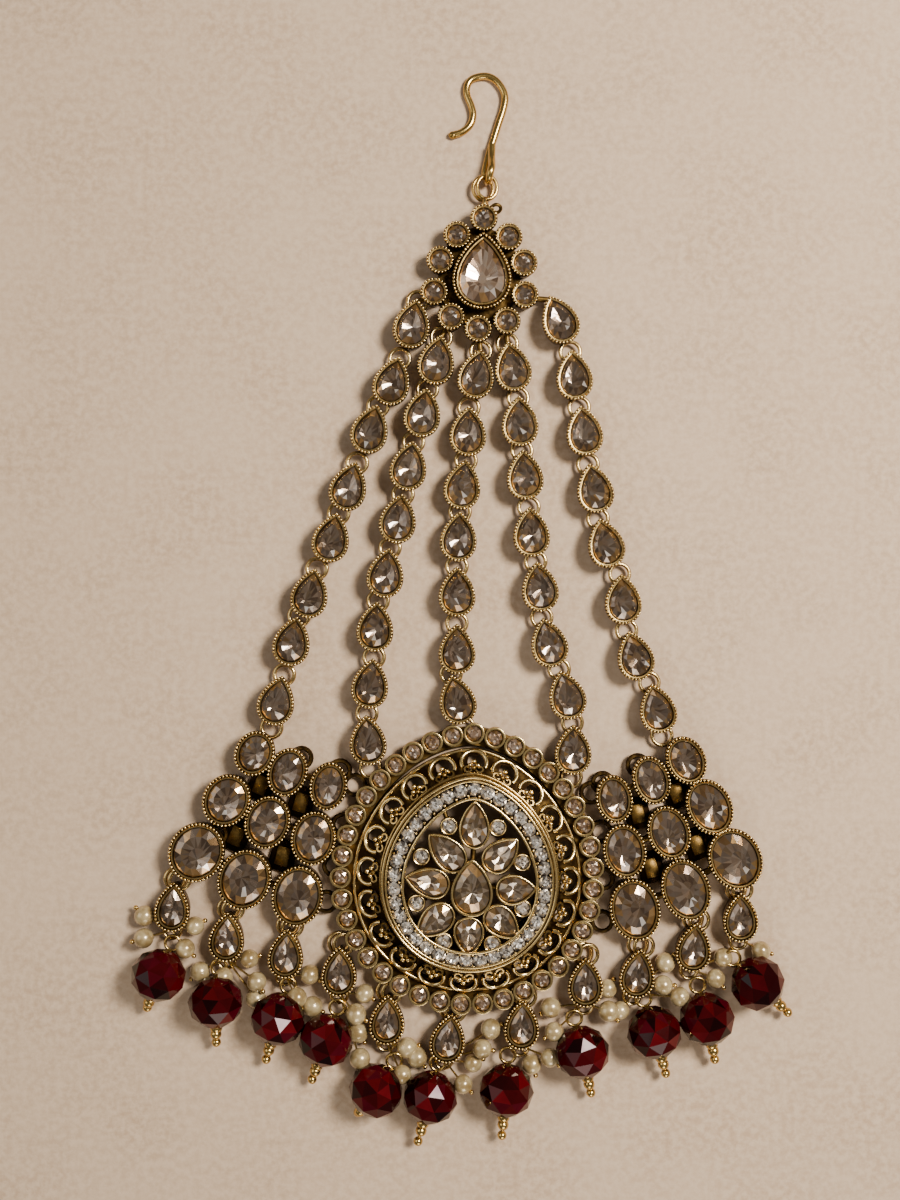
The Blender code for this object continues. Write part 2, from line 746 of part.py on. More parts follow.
def make_panel(name, material):
    """Nine ovals soldered end to end and strapped across the lowest row, with rings and eyes."""
    pieces = []
    for column in range(3):
        for row in range(3):
            centre, up = panel_oval(name, column, row)
            cup = cup_with_stone(unit_oval(STONE_SIDES), OVAL_WIDTHS[row], OVAL_LENGTHS[row],
                                 OVAL_HEIGHTS[row])
            pieces.append(to_object("oval", cup, seat(centre, up)))
    for column in range(2):
        start = panel_oval(name, column, 2)[0]
        end = panel_oval(name, column + 1, 2)[0]
        along = end - start
        place = seat((start + end) / 2, along, STRAP_BOTTOM + STRAP_WIDTH / 2)
        pieces.append(box_object("strap", (STRAP_WIDTH, along.length, STRAP_WIDTH), place))
    for column in range(3):
        centre, up = panel_oval(name, column, 2)
        hole, outward = oval_eye(centre, -up, 2)
        pieces.append(eye_object("drop_eye", LINK_WIRE, seat(hole, outward, LINK_HEIGHT)))
    hole, outward = chain_end_eye(PANEL_CHAINS[name])
    pieces.append(eye_object("chain_eye", LINK_WIRE, seat(hole, outward, LINK_HEIGHT)))
    for index, centre in enumerate(panel_link_centres(name)):
        target = panel_notch(name, index) + centre.normalized() * STRAP_WIDTH / 2
        pieces.append(ring_object("panel_link", LINK_RING_DIAMETER, LINK_WIRE,
                                  seat(centre, centre - ORIGIN, LINK_HEIGHT)))
        along = target - centre
        reach = along.length - RING_RADIUS
        middle = centre + along.normalized() * (RING_RADIUS + reach / 2)
        place = seat(middle, along, LINK_HEIGHT)
        pieces.append(box_object("panel_lug", (STRAP_WIDTH, reach, LINK_WIRE), place))
    return fuse(name, pieces, material)


# Chains

def chain_route(name):
    """Dense route between the centres of a chain's first and last rings."""
    stud, angle = CHAIN_STARTS[name]
    start = flower_eye(stud, angle, LINK_WIRE, LINK_HEIGHT) + heading(angle) * RING_RADIUS
    hole, outward = chain_end_eye(name)
    end = hole + outward * RING_RADIUS
    along = end - start
    right = Vector((-along.y, along.x)).normalized()
    middle = [start + along * share + right * bow for share, bow in CHAIN_BOWS[name]]
    return smooth_route([start, *middle, end])


def make_chain(name, material):
    """Pear settings at even steps on a tube, with a jump ring at each end."""
    route = chain_route(name)
    span = route_length(route) + 2 * CHAIN_END_OVERLAP
    count = round((span + CHAIN_LINK_GAP) / (CHAIN_SETTING_LENGTH + CHAIN_LINK_GAP))
    gap = (span - count * CHAIN_SETTING_LENGTH) / (count - 1)
    pieces = []
    ends = []
    for index in range(count):
        top = index * (CHAIN_SETTING_LENGTH + gap) - CHAIN_END_OVERLAP
        upper = point_along(route, max(top, 0.0))[0]
        lower = point_along(route, top + CHAIN_SETTING_LENGTH)[0]
        centre = point_along(route, top + CHAIN_SETTING_LENGTH / 2)[0]
        up = (upper - lower).normalized()
        cup = stud_with_stone(unit_pear(STONE_SIDES), CHAIN_SETTING_WIDTH, CHAIN_SETTING_LENGTH,
                              CHAIN_SETTING_HEIGHT)
        pieces.append(to_object("pear", cup, seat(centre, up)))
        ends.append((centre + up * CHAIN_SETTING_LENGTH / 2, centre - up * CHAIN_SETTING_LENGTH / 2))
    for (_, above), (below, _) in zip(ends, ends[1:]):
        along = (below - above).normalized()
        reach = (below - above).length + 4 * CUP_TAPER
        middle = (above + below) / 2
        spots = [middle - along * reach / 2, middle + along * reach / 2]
        points = [Vector((spot.x, spot.y, LINK_HEIGHT)) for spot in spots]
        pieces.append(tube_object("link_tube", points, CHAIN_TUBE, 0))
    for centre in (route[0], route[-1]):
        place = seat(centre, route[0] - route[-1], LINK_HEIGHT)
        pieces.append(ring_object("end_ring", LINK_RING_DIAMETER, LINK_WIRE, place))
    return fuse(name, pieces, material)


# Drops

def drop_anchor(index):
    """Hole centre and outward direction of the eye that a drop hangs from."""
    if index < 3:
        centre, up = panel_oval("side_panel_left", 2 - index, 2)
        return oval_eye(centre, -up, 2)
    if index < 3 + len(MEDALLION_DROPS):
        return medallion_drop_eye(MEDALLION_DROPS[index - 3])
    centre, up = panel_oval("side_panel_right", index - 3 - len(MEDALLION_DROPS), 2)
    return oval_eye(centre, -up, 2)


def drop_ring_centre(index):
    hole, outward = drop_anchor(index)
    return hole + outward * RING_RADIUS


def drop_down(index):
    return heading(DROP_TURNS[index][0] - 90.0)


def drop_setting_centre(index):
    return drop_ring_centre(index) + drop_down(index) * (DROP_SETTING_LENGTH / 2 - CHAIN_END_OVERLAP)


def bead_heading(index):
    return heading(DROP_TURNS[index][1] - 90.0)


def drop_eye(index):
    """Hole centre of the eye under a drop's setting, and the direction it stands out in."""
    wall = DROP_SETTING_LENGTH / 2 - cup_inset(DROP_EYE_HEIGHT / DROP_SETTING_HEIGHT)
    outward = (drop_down(index) + bead_heading(index)).normalized()
    standoff = PIN_WIRE / 2 + CLEARANCE + EYE_BAR - EYE_BITE
    foot = drop_setting_centre(index) + drop_down(index) * wall
    return foot + outward * standoff, outward


def make_drop_setting(index, material):
    """Pear setting with the ring it hangs by and an eye below."""
    cup = stud_with_stone(unit_pear(STONE_SIDES), DROP_SETTING_WIDTH, DROP_SETTING_LENGTH,
                          DROP_SETTING_HEIGHT)
    up = -drop_down(index)
    pieces = [to_object("drop_cup", cup, seat(drop_setting_centre(index), up))]
    place = seat(drop_ring_centre(index), up, LINK_HEIGHT)
    pieces.append(ring_object("drop_ring", LINK_RING_DIAMETER, LINK_WIRE, place))
    hole, outward = drop_eye(index)
    pieces.append(eye_object("drop_lower_eye", PIN_WIRE, seat(hole, outward, DROP_EYE_HEIGHT)))
    return fuse("drop_setting_%d" % (index + 1), pieces, material)


def bead_distance():
    """From the eye's hole along the pin to the middle of the bead."""
    return 2 * PIN_LOOP_RADIUS + PIN_WIRE / 2 + CLEARANCE + BEAD_LENGTH / 2


def pin_placement(index):
    """Frame of a head pin: origin in the eye's hole and local +Y along the pin to its ball."""
    rise = BEAD_DIAMETER / 2 - DROP_EYE_HEIGHT
    tilt = math.asin(rise / bead_distance())
    hole = drop_eye(index)[0]
    return seat(hole, bead_heading(index), DROP_EYE_HEIGHT) @ Matrix.Rotation(tilt, 4, "X")


def turned_object(name, profile, sides, placement):
    """A solid turned about local Y from (radius, distance) points listed towards the ball."""
    mesh = bpy.data.meshes.new(name)
    bm = bmesh.new()
    spots = [bm.verts.new((radius, 0.0, -distance)) for radius, distance in profile]
    for a, b in zip(spots, spots[1:]):
        bm.edges.new((a, b))
    if profile[0][0] > 0:
        bm.edges.new((spots[-1], spots[0]))
    bm.to_mesh(mesh)
    bm.free()
    piece = bpy.data.objects.new(name, mesh)
    PARTS.objects.link(piece)
    screw = piece.modifiers.new("turn", "SCREW")
    screw.steps = sides
    screw.render_steps = sides
    screw.use_merge_vertices = True
    screw.merge_threshold = 0.000001
    depsgraph = bpy.context.evaluated_depsgraph_get()
    depsgraph.update()
    bm = bmesh.new()
    bm.from_mesh(piece.evaluated_get(depsgraph).to_mesh())
    bpy.data.objects.remove(piece)
    return to_object(name, bm, placement @ Matrix.Rotation(math.pi / 2, 4, "X"))


def make_bead(index, material):
    """Faceted bead with a hole along its middle for the head pin."""
    radius = BEAD_DIAMETER / 2
    half = BEAD_LENGTH / 2
    hole = PIN_WIRE / 2 + CLEARANCE
    middle = bead_distance()
    profile = [
        (hole, middle - half),
        (radius * 0.55, middle - half),
        (radius, middle - half * 0.25),
        (radius, middle + half * 0.25),
        (radius * 0.55, middle + half),
        (hole, middle + half),
    ]
    bead = turned_object("ruby_bead_%d" % (index + 1), profile, BEAD_SIDES, pin_placement(index))
    bead.data.materials.append(material)
    return bead


def make_pin(index, material):
    """Wire loop, shank, tube and ball in one piece."""
    place = pin_placement(index)
    loop_place = place @ Matrix.Translation((0.0, PIN_LOOP_RADIUS, 0.0))
    loop = ring_object("pin_loop", PIN_LOOP_DIAMETER, PIN_WIRE, loop_place)
    start = 2 * PIN_LOOP_RADIUS
    below = bead_distance() + BEAD_LENGTH / 2 + CLEARANCE
    wire = PIN_WIRE / 2
    tube = PIN_TUBE_DIAMETER / 2
    ball = PIN_BALL_DIAMETER / 2
    tube_end = below + PIN_TUBE_LENGTH
    profile = [
        (0.0, start),
        (wire, start),
        (wire, below),
        (tube, below),
        (tube, tube_end),
        (ball, tube_end + ball),
        (0.0, tube_end + ball * 2),
    ]
    shank = turned_object("pin_shank", profile, PIN_SIDES, place)
    return shade_round(fuse("head_pin_%d" % (index + 1), [shank, loop], material))


def make_pearl_wire(index, material):
    """Wire that carries the small pearls: it runs through the pin's loop to both sides."""
    place = pin_placement(index)
    through = PIN_LOOP_RADIUS + PIN_WIRE / 2 + EYE_BAR / 2
    side = PIN_LOOP_RADIUS + PEARL_DIAMETER / 2
    low = DROP_EYE_HEIGHT - PEARL_DIAMETER / 2 + PEARL_WIRE
    ends = [place @ Vector((-side, through, -low)), place @ Vector((side, through, low))]
    wire = tube_object("pearl_wire", ends, PEARL_WIRE, 1)
    return shade_round(fuse("pearl_wire_%d" % (index + 1), [wire], material))


def make_drops(gold, ruby, pearl):
    for index in range(len(DROP_TURNS)):
        make_drop_setting(index, gold)
        make_bead(index, ruby)
        make_pin(index, gold)
        make_pearl_wire(index, pearl)


def rest_on_origin():
    """Move the whole ornament so that its box stands centred on the origin."""
    corners = [piece.matrix_world @ vert.co for piece in PARTS.objects for vert in piece.data.vertices]
    low = Vector([min(corner[axis] for corner in corners) for axis in range(3)])
    high = Vector([max(corner[axis] for corner in corners) for axis in range(3)])
    shift = Vector((-(low.x + high.x) / 2, -(low.y + high.y) / 2, -low.z))
    for mesh in {piece.data for piece in PARTS.objects}:
        mesh.transform(Matrix.Translation(shift))


def main():
    gold = make_material("antique_gold", (0.55, 0.40, 0.18), 0.35, 1.0)
    bright = make_material("bright_gold", (0.70, 0.52, 0.22), 0.25, 1.0)
    ruby = make_material("ruby_glass", (0.35, 0.01, 0.04), 0.08, 0.0)
    pearl = make_material("pearl_ivory", (0.85, 0.78, 0.62), 0.30, 0.0)
    make_hook(bright)
    make_hook_ring(gold)
    make_flower(gold)
    for name in CHAIN_STARTS:
        make_chain(name, gold)
    for name in PANELS:
        make_panel(name, gold)
    make_medallion(gold)
    make_drops(gold, ruby, pearl)
    rest_on_origin()


main()
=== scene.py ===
# %% [markdown]
# A jhoomar is worn at the side of the head. This one lies on its back on a pale table: a hook,
# a flower of stones, five chains, two side panels, a domed openwork medallion and red bead drops.
# The imported CAD model is opened first; each piece made here hides the CAD parts that it
# replaces.

import math
import random

import bmesh
import bpy
from mathutils import Matrix, Vector


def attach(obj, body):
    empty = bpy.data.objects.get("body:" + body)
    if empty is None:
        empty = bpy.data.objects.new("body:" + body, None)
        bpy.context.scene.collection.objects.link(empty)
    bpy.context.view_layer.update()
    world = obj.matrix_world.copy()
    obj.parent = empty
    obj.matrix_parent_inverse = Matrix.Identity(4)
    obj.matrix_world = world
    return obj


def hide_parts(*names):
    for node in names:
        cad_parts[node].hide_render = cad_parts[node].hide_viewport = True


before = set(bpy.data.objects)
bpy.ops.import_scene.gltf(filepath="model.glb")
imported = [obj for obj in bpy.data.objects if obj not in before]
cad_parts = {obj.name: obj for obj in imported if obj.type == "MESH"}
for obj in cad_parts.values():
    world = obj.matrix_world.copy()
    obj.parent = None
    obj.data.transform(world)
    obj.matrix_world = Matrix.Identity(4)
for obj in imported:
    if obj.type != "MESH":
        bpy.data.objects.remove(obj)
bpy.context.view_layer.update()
MM = 0.001
draw = random.Random(11)
print("CAD nodes", len(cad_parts))

# %% [markdown]
# The photograph looks straight down. A camera 200 mm over the table with a 39 mm lens spreads
# the taller stones a little away from the middle, as there.

# %% Camera over the table
overhead = bpy.data.cameras.new("overhead")
overhead.sensor_width = 36.0
overhead.lens = 39.1
overhead.clip_start = 0.01
camera = bpy.data.objects.new("overhead", overhead)
camera.location = (-1.7 * MM, 2.7 * MM, 200 * MM)
bpy.context.scene.collection.objects.link(camera)
bpy.context.scene.camera = camera
print("camera height", camera.location.z)

# %% [markdown]
# Cut stones and worn metal need something to reflect. One bright soft lamp at the upper right
# gives the shadows to the left, and wide weak ones fill the other sides.

# %% Soft studio light


def softbox(name, place, size, power, colour):
    """A square lamp that points at the middle of the ornament."""
    lamp = bpy.data.lights.new(name, "AREA")
    lamp.size = size
    lamp.energy = power
    lamp.color = colour
    holder = bpy.data.objects.new(name, lamp)
    holder.location = place
    holder.rotation_euler = Vector(place).to_track_quat("Z", "Y").to_euler()
    bpy.context.scene.collection.objects.link(holder)


softbox("key_softbox", (0.20, 0.11, 0.33), 0.10, 3.15, (1.0, 0.94, 0.85))
softbox("fill_softbox", (-0.30, 0.05, 0.25), 0.25, 0.34, (1.0, 0.97, 0.93))
softbox("low_softbox", (0.05, -0.34, 0.20), 0.16, 0.5, (1.0, 0.93, 0.84))

room = bpy.data.worlds.new("studio")
room.use_nodes = True
glow = room.node_tree.nodes["Background"]
glow.inputs["Color"].default_value = (1.0, 0.95, 0.88, 1.0)
glow.inputs["Strength"].default_value = 0.17
bpy.context.scene.world = room

# %% [markdown]
# A material is a small sum: how rubbed the metal is and how much shade is painted on it, plus some
# cloudiness, decides its colour.
# Wrapping a socket in a class lets such a sum be written as plain arithmetic.

# %% A socket that can be added and multiplied


class Flow:
    """One output socket of a material's nodes."""

    def __init__(self, tree, socket=None):
        self.tree = tree
        self.socket = socket

    def make(self, kind, output, settings=None, sockets=None):
        """Add a node, set it, fill its sockets and return one of its outputs."""
        node = self.tree.nodes.new(kind)
        for key, value in (settings or {}).items():
            setattr(node, key, value)
        for key, value in (sockets or {}).items():
            if isinstance(value, Flow):
                self.tree.links.new(value.socket, node.inputs[key])
            else:
                node.inputs[key].default_value = value
        return Flow(self.tree, node.outputs[output])

    def sum_node(self, operation, first, second):
        return self.make("ShaderNodeMath", 0, {"operation": operation}, {0: first, 1: second})

    def __add__(self, other):
        return self.sum_node("ADD", self, other)

    __radd__ = __add__

    def __mul__(self, other):
        return self.sum_node("MULTIPLY", self, other)

    __rmul__ = __mul__

    def __sub__(self, other):
        return self.sum_node("SUBTRACT", self, other)

    def __rsub__(self, other):
        return self.sum_node("SUBTRACT", other, self)

    def step(self, low, high):
        """0 below low, 1 above high and smooth between them."""
        return self.make("ShaderNodeMapRange", 0, {"interpolation_type": "SMOOTHSTEP"},
                         {"Value": self, "From Min": low, "From Max": high})

    def blend(self, low, high, mode="MIX"):
        """A colour between two, by this value."""
        return self.make("ShaderNodeMix", 2, {"data_type": "RGBA", "blend_type": mode},
                         {0: self, 6: low, 7: high})

    def bumped(self, strength, depth):
        """A normal that this value disturbs, by a depth in millimetres."""
        return self.make("ShaderNodeBump", "Normal", None, {
            "Height": self, "Strength": strength, "Distance": depth * MM})


def rgb(red, green, blue):
    return (red, green, blue, 1.0)


def start_material(name, **constants):
    """A Principled material with its constant sockets set, and a flow to add nodes with."""
    material = bpy.data.materials.new(name)
    material.use_nodes = True
    shader = material.node_tree.nodes["Principled BSDF"]
    for key, value in constants.items():
        shader.inputs[key.replace("_", " ")].default_value = value
    return material, shader, Flow(material.node_tree)


def plug_in(material, shader, **flows):
    for key, value in flows.items():
        material.node_tree.links.new(value.socket, shader.inputs[key.replace("_", " ")])
    return material


def cloud(flow, scale, detail=3.0):
    """Soft noise fixed to the ornament, with about one blot in each 1/scale metres."""
    spot = flow.make("ShaderNodeTexCoord", "Object")
    return flow.make("ShaderNodeTexNoise", 0, None,
                     {"Vector": spot, "Scale": scale, "Detail": detail, "Roughness": 0.6})


# %% [markdown]
# The metal is brass that was plated, darkened and wiped. Dark patina and painted shade fill the
# hollows, the walls are a dull olive gold and the high edges are pale and bright, rubbed metal
# with a painted highlight. Each mesh carries a number named wear_and_shade, 0 in a hollow and 1 on
# an edge. It is painted while the mesh is made.

# %% Antique gold, bright gold


def gold_finish(name, patina_and_shade, body, worn_and_highlight, smooth):
    material, shader, flow = start_material(name, Metallic=1.0, IOR=1.5)
    # The wear number paints both: 0 gives patina with painted shade in hollows, 1 gives rubbed
    # metal with a painted highlight on edges.
    wear_and_shade = flow.make("ShaderNodeAttribute", "Fac", {"attribute_name": "wear_and_shade"})
    rubbed_and_shaded = wear_and_shade + (cloud(flow, 700.0) - 0.5) * 0.55
    colour = rubbed_and_shaded.step(0.02, 0.5).blend(patina_and_shade, body)
    colour = rubbed_and_shaded.step(0.55, 1.0).blend(colour, worn_and_highlight)
    grain = cloud(flow, 5200.0, 2.0)
    roughness = smooth + 0.26 * (1.0 - rubbed_and_shaded.step(0.1, 0.9)) + (grain - 0.5) * 0.12
    bump = (grain + cloud(flow, 1500.0)).bumped(0.22, 0.06)
    return plug_in(material, shader, Base_Color=colour, Roughness=roughness, Normal=bump)


antique_gold = gold_finish("antique_gold", rgb(0.016, 0.008, 0.003), rgb(0.28, 0.168, 0.047),
                           rgb(0.82, 0.60, 0.26), 0.22)
bright_gold = gold_finish("bright_gold", rgb(0.07, 0.036, 0.010), rgb(0.33, 0.20, 0.05),
                          rgb(0.60, 0.40, 0.13), 0.22)

# %% [markdown]
# The stones are glass with foil behind, and each facet is painted its own tone of champagne, from
# white through rose beige to brown: the stone's colour with painted reflections and a painted
# white glint or two. A clear coat over a tinted mirror gives both layers without slow glass. The
# facets' tones are a colour attribute named tint_and_reflection.

# %% Foiled stones, red glass and pearl


def tint_of(flow):
    return flow.make("ShaderNodeAttribute", "Color", {"attribute_name": "tint_and_reflection"})


def foiled_stone():
    material, shader, flow = start_material(
        "champagne_stone", Metallic=0.72, IOR=1.52, Coat_Weight=1.0, Coat_Roughness=0.02)
    haze = cloud(flow, 900.0)
    colour = haze.step(0.25, 0.75).blend(tint_of(flow), rgb(0.95, 0.82, 0.68), "MULTIPLY")
    return plug_in(material, shader, Base_Color=colour, Roughness=0.08 + 0.12 * haze)


def ruby_glass_finish():
    material, shader, flow = start_material(
        "ruby_glass", Metallic=0.0, Specular_IOR_Level=0.12, Coat_Weight=0.10,
        Coat_Roughness=0.02)
    depth = cloud(flow, 420.0)
    colour = depth.step(0.3, 0.7).blend(tint_of(flow), rgb(0.75, 0.60, 0.70), "MULTIPLY")
    return plug_in(material, shader, Base_Color=colour, Roughness=0.03 + 0.05 * depth)


def pearl_finish():
    material, shader, flow = start_material(
        "pearl_ivory", Metallic=0.25, IOR=1.6, Coat_Weight=0.8, Coat_Roughness=0.12)
    lustre = cloud(flow, 520.0)
    colour = lustre.step(0.3, 0.7).blend(rgb(0.26, 0.17, 0.065), rgb(0.54, 0.42, 0.22))
    nacre = cloud(flow, 2600.0).bumped(0.08, 0.05)
    return plug_in(material, shader, Base_Color=colour, Roughness=0.20 + 0.12 * lustre,
                   Normal=nacre)


stone_look = foiled_stone()
ruby_look = ruby_glass_finish()
pearl_look = pearl_finish()
SLOTS = {antique_gold: "antique_gold", bright_gold: "bright_gold", ruby_look: "ruby_glass",
         pearl_look: "pearl_ivory"}

# %% [markdown]
# The ornament lies on a pale matt table. It isn't part of the object.

# %% Pale table


def pale_table():
    material, shader, flow = start_material("pale_table", Roughness=0.9)
    weave = cloud(flow, 900.0, 4.0)
    colour = cloud(flow, 60.0).step(0.3, 0.7).blend(
        rgb(0.43, 0.295, 0.187), rgb(0.51, 0.365, 0.242))
    colour = weave.step(0.3, 0.7).blend(colour, rgb(0.565, 0.42, 0.29))
    plug_in(material, shader, Base_Color=colour, Normal=weave.bumped(0.25, 0.2))
    bm = bmesh.new()
    bmesh.ops.create_grid(bm, x_segments=1, y_segments=1, size=0.8)
    mesh = bpy.data.meshes.new("table_top")
    bm.to_mesh(mesh)
    bm.free()
    mesh.materials.append(material)
    table = bpy.data.objects.new("table_top", mesh)
    bpy.context.scene.collection.objects.link(table)


pale_table()

# %% [markdown]
# Every setting starts from its outline seen from above: a round, an oval or a pear. The outline
# is sampled at even steps, so that the beads of a milled rim sit at one pitch all round.

# %% Outlines

FINE_STEPS = 240
TURNS = [2 * math.pi * step / FINE_STEPS for step in range(FINE_STEPS)]


def evened(path, count):
    """Points at even steps along a closed path, starting at its first point."""
    closed = [*path, path[0]]
    steps = [(b - a).length for a, b in zip(closed, closed[1:])]
    pitch = sum(steps) / count
    points, walked, index = [], 0.0, 0
    for number in range(count):
        while walked + steps[index] < pitch * number:
            walked += steps[index]
            index += 1
        share = (pitch * number - walked) / steps[index]
        points.append(closed[index].lerp(closed[index + 1], share))
    return points


def pear_edge(width, length, count, taper=0.6):
    """A pear with its tip at +Y, clockwise from the tip."""
    reach = [math.sin(turn) * abs(math.sin(turn / 2)) ** taper for turn in TURNS]
    widest = max(reach)
    path = [Vector((x / widest * width / 2, math.cos(turn) * length / 2))
            for x, turn in zip(reach, TURNS)]
    return evened(path, count)


def oval_edge(width, length, count):
    path = [Vector((math.sin(turn) * width / 2, math.cos(turn) * length / 2)) for turn in TURNS]
    return evened(path, count)


def round_edge(width, count):
    return oval_edge(width, width, count)


def drawn_in(edge, inset):
    """The same outline, a distance inside itself."""
    inner = []
    for before, point, after in zip([edge[-1], *edge], edge, [*edge[1:], edge[0]]):
        along = (after - before).normalized()
        inner.append(point + Vector((along.y, -along.x)) * inset)
    return inner


def moved(x, y, z):
    return Matrix.Translation((x, y, z))


def turned(degrees, axis):
    return Matrix.Rotation(math.radians(degrees), 4, axis)


def standing(point, lean=0.0, height=0.0):
    """Placement at a plane point, turned so that local +Y leans right by some degrees."""
    return moved(*point, height) @ turned(-lean, "Z")


def between(start, end, height=0.0):
    """Placement half-way between two plane points, with local +Y towards the first."""
    lean = math.degrees(math.atan2(start[0] - end[0], start[1] - end[1]))
    return standing(((start[0] + end[0]) / 2, (start[1] + end[1]) / 2), lean, height)


print("half width of a 5.6 mm pear", max(point.x for point in pear_edge(5.6, 7.6, 36)))

# %% [markdown]
# All shapes are drawn in millimetres and stamped into one mesh for each piece. A shape is made
# once, then copied wherever the piece repeats it, as a jeweller casts and solders.

# %% Stamping shapes into a piece


def blank():
    """An empty mesh in the making, with its two painted layers."""
    bm = bmesh.new()
    bm.verts.layers.float.new("wear_and_shade")
    bm.loops.layers.float_color.new("tint_and_reflection")
    return bm


def paint(bm, verts, amount):
    layer = bm.verts.layers.float["wear_and_shade"]
    for vert in verts:
        vert[layer] = amount


def shape_of(bm, name="shape"):
    mesh = bpy.data.meshes.new(name)
    bmesh.ops.recalc_face_normals(bm, faces=bm.faces[:])
    bm.to_mesh(mesh)
    bm.free()
    return mesh


def stamp(bm, shape, placement=Matrix.Identity(4)):
    """Add a placed copy of a shape to a mesh in the making."""
    copy = shape.copy()
    copy.transform(placement)
    bm.from_mesh(copy)
    bpy.data.meshes.remove(copy)


def finish_piece(name, bm, material, nodes=(), sharp=50.0):
    """Scale a piece to metres, shade it and hand it over. Edges over sharp degrees stay crisp."""
    bmesh.ops.scale(bm, vec=(MM, MM, MM), verts=bm.verts)
    mesh = shape_of(bm, name)
    mesh.materials.append(material)
    if sharp:
        mesh.shade_smooth()
        mesh.set_sharp_from_angle(angle=math.radians(sharp))
    piece = bpy.data.objects.new(name, mesh)
    bpy.context.scene.collection.objects.link(piece)
    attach(piece, "root")
    if nodes:
        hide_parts(*nodes)
    material in SLOTS
    print(name, sum(len(face.vertices) - 2 for face in mesh.polygons), "triangles")


def finish_set(name, metal, stones, nodes):
    """Hand over settings and their stones as two pieces."""
    finish_piece(name + "_settings", metal, antique_gold, nodes)
    finish_piece(name + "_stones", stones, stone_look, sharp=None)


# %% [markdown]
# A collet is the little cup that holds a stone. Its wall leans in towards the base, swells under
# the rim and turns over it. A pear isn't round, so it can't be turned like a vase: a ring of edges
# is extruded upwards and set to the outline at each level.

# %% Collets


def at_height(edge, height):
    return [Vector((point.x, point.y, height)) for point in edge]


def lay_ring(bm, spots):
    made = bmesh.ops.create_circle(bm, cap_ends=False, segments=len(spots), radius=1.0)["verts"]
    for vert, spot in zip(made, spots):
        vert.co = spot
    return made


def lift_ring(bm, ring, spots):
    """Extrude a ring of edges and set the new ring to the spots given."""
    grown = bmesh.ops.extrude_edge_only(bm, edges=loop_edges(bm, ring))["geom"]
    fresh = {item for item in grown if isinstance(item, bmesh.types.BMVert)}
    lifted = [next(e.other_vert(vert) for e in vert.link_edges if e.other_vert(vert) in fresh)
              for vert in ring]
    for vert, spot in zip(lifted, spots):
        vert.co = spot
    return lifted


def loop_edges(bm, ring):
    return [bm.edges.get(pair) for pair in zip(ring, [*ring[1:], ring[0]])]


def hoop(levels, wears_and_shades):
    """A closed hoop: rings of spots joined in turn, the last one to the first."""
    bm = blank()
    rings = [lay_ring(bm, levels[0])]
    for spots in levels[1:]:
        rings.append(lift_ring(bm, rings[-1], spots))
    for ring, wear_and_shade in zip(rings, wears_and_shades):
        paint(bm, ring, wear_and_shade)
    bmesh.ops.bridge_loops(bm, edges=loop_edges(bm, rings[0]) + loop_edges(bm, rings[-1]))
    return shape_of(bm)


def grain_ball(bm, place, radius, sides=6, rings=4, wear_and_shade=1.0, stretch=(1, 1, 1)):
    """A small round ball of metal."""
    matrix = Matrix.Translation(place) @ Matrix.Diagonal((*stretch, 1))
    made = bmesh.ops.create_uvsphere(bm, u_segments=sides, v_segments=rings, radius=radius,
                                     matrix=matrix)
    paint(bm, made["verts"], wear_and_shade)


def collet(edge, height, rim, milled=0, grain=0.25):
    """Cup with a rolled rim and milled beads along it. A level is an inset, height and
    wear_and_shade, with painted shade under the rim and a painted highlight on it.
    """
    bm = blank()
    levels = [(0.50, 0.00, 0.05), (0.30, height * 0.35, 0.15), (0.10, height * 0.72, 0.25)]
    if milled:
        levels += [(0.00, height - 0.55, 0.30), (0.06, height - 0.35, 0.00),
                   (0.20, height - 0.24, 0.00), (rim - 0.36, height - 0.18, 0.05),
                   (rim - 0.26, height - 0.02, 0.85), (rim - 0.07, height - 0.04, 0.65)]
    else:
        levels += [(-0.02, height - 0.45, 0.45), (0.00, height - 0.22, 0.35),
                   (0.06, height - 0.05, 0.85), (rim * 0.50, height, 1.00),
                   (rim * 0.88, height - 0.06, 0.60)]
    levels += [(rim, height - 0.38, 0.00), (rim + 0.08, height - 1.10, 0.00)]
    inset, level, wear_and_shade = levels[0]
    ring = lay_ring(bm, at_height(drawn_in(edge, inset), level))
    bm.faces.new(ring)
    paint(bm, ring, wear_and_shade)
    for inset, level, wear_and_shade in levels[1:]:
        ring = lift_ring(bm, ring, at_height(drawn_in(edge, inset), level))
        paint(bm, ring, wear_and_shade)
    bm.faces.new(ring)
    if milled:
        dense = [a.lerp(b, step / 4) for a, b in zip(edge, [*edge[1:], edge[0]])
                 for step in range(4)]
        for point in evened(drawn_in(dense, 0.20), milled):
            grain_ball(bm, (point.x, point.y, height - 0.12), grain,
                       wear_and_shade=draw.uniform(0.75, 1.1), stretch=(1, 1, 1.2))
    return shape_of(bm)


# %% [markdown]
# Seen from above, a foiled stone shows its crown facets round the edge and, through its table,
# two rows of back facets running to a point. All are modelled as one surface: the crown slopes up
# to the table's edge, and the back facets sink from there to a point below it.

# %% Cut stones

# Facet tones: the stones' own colours, varied facet by facet as painted reflections.
CHAMPAGNE = [(0.185, 0.135, 0.10), (0.14, 0.10, 0.067), (0.225, 0.175, 0.135),
             (0.085, 0.055, 0.035), (0.165, 0.115, 0.07), (0.125, 0.096, 0.076),
             (0.20, 0.157, 0.125)]
SMOKY = [(0.18, 0.14, 0.10), (0.25, 0.20, 0.15), (0.12, 0.085, 0.05), (0.32, 0.265, 0.21),
         (0.20, 0.145, 0.08)]
ROSE = [(0.38, 0.28, 0.21), (0.30, 0.21, 0.15), (0.44, 0.35, 0.28), (0.18, 0.12, 0.08)]
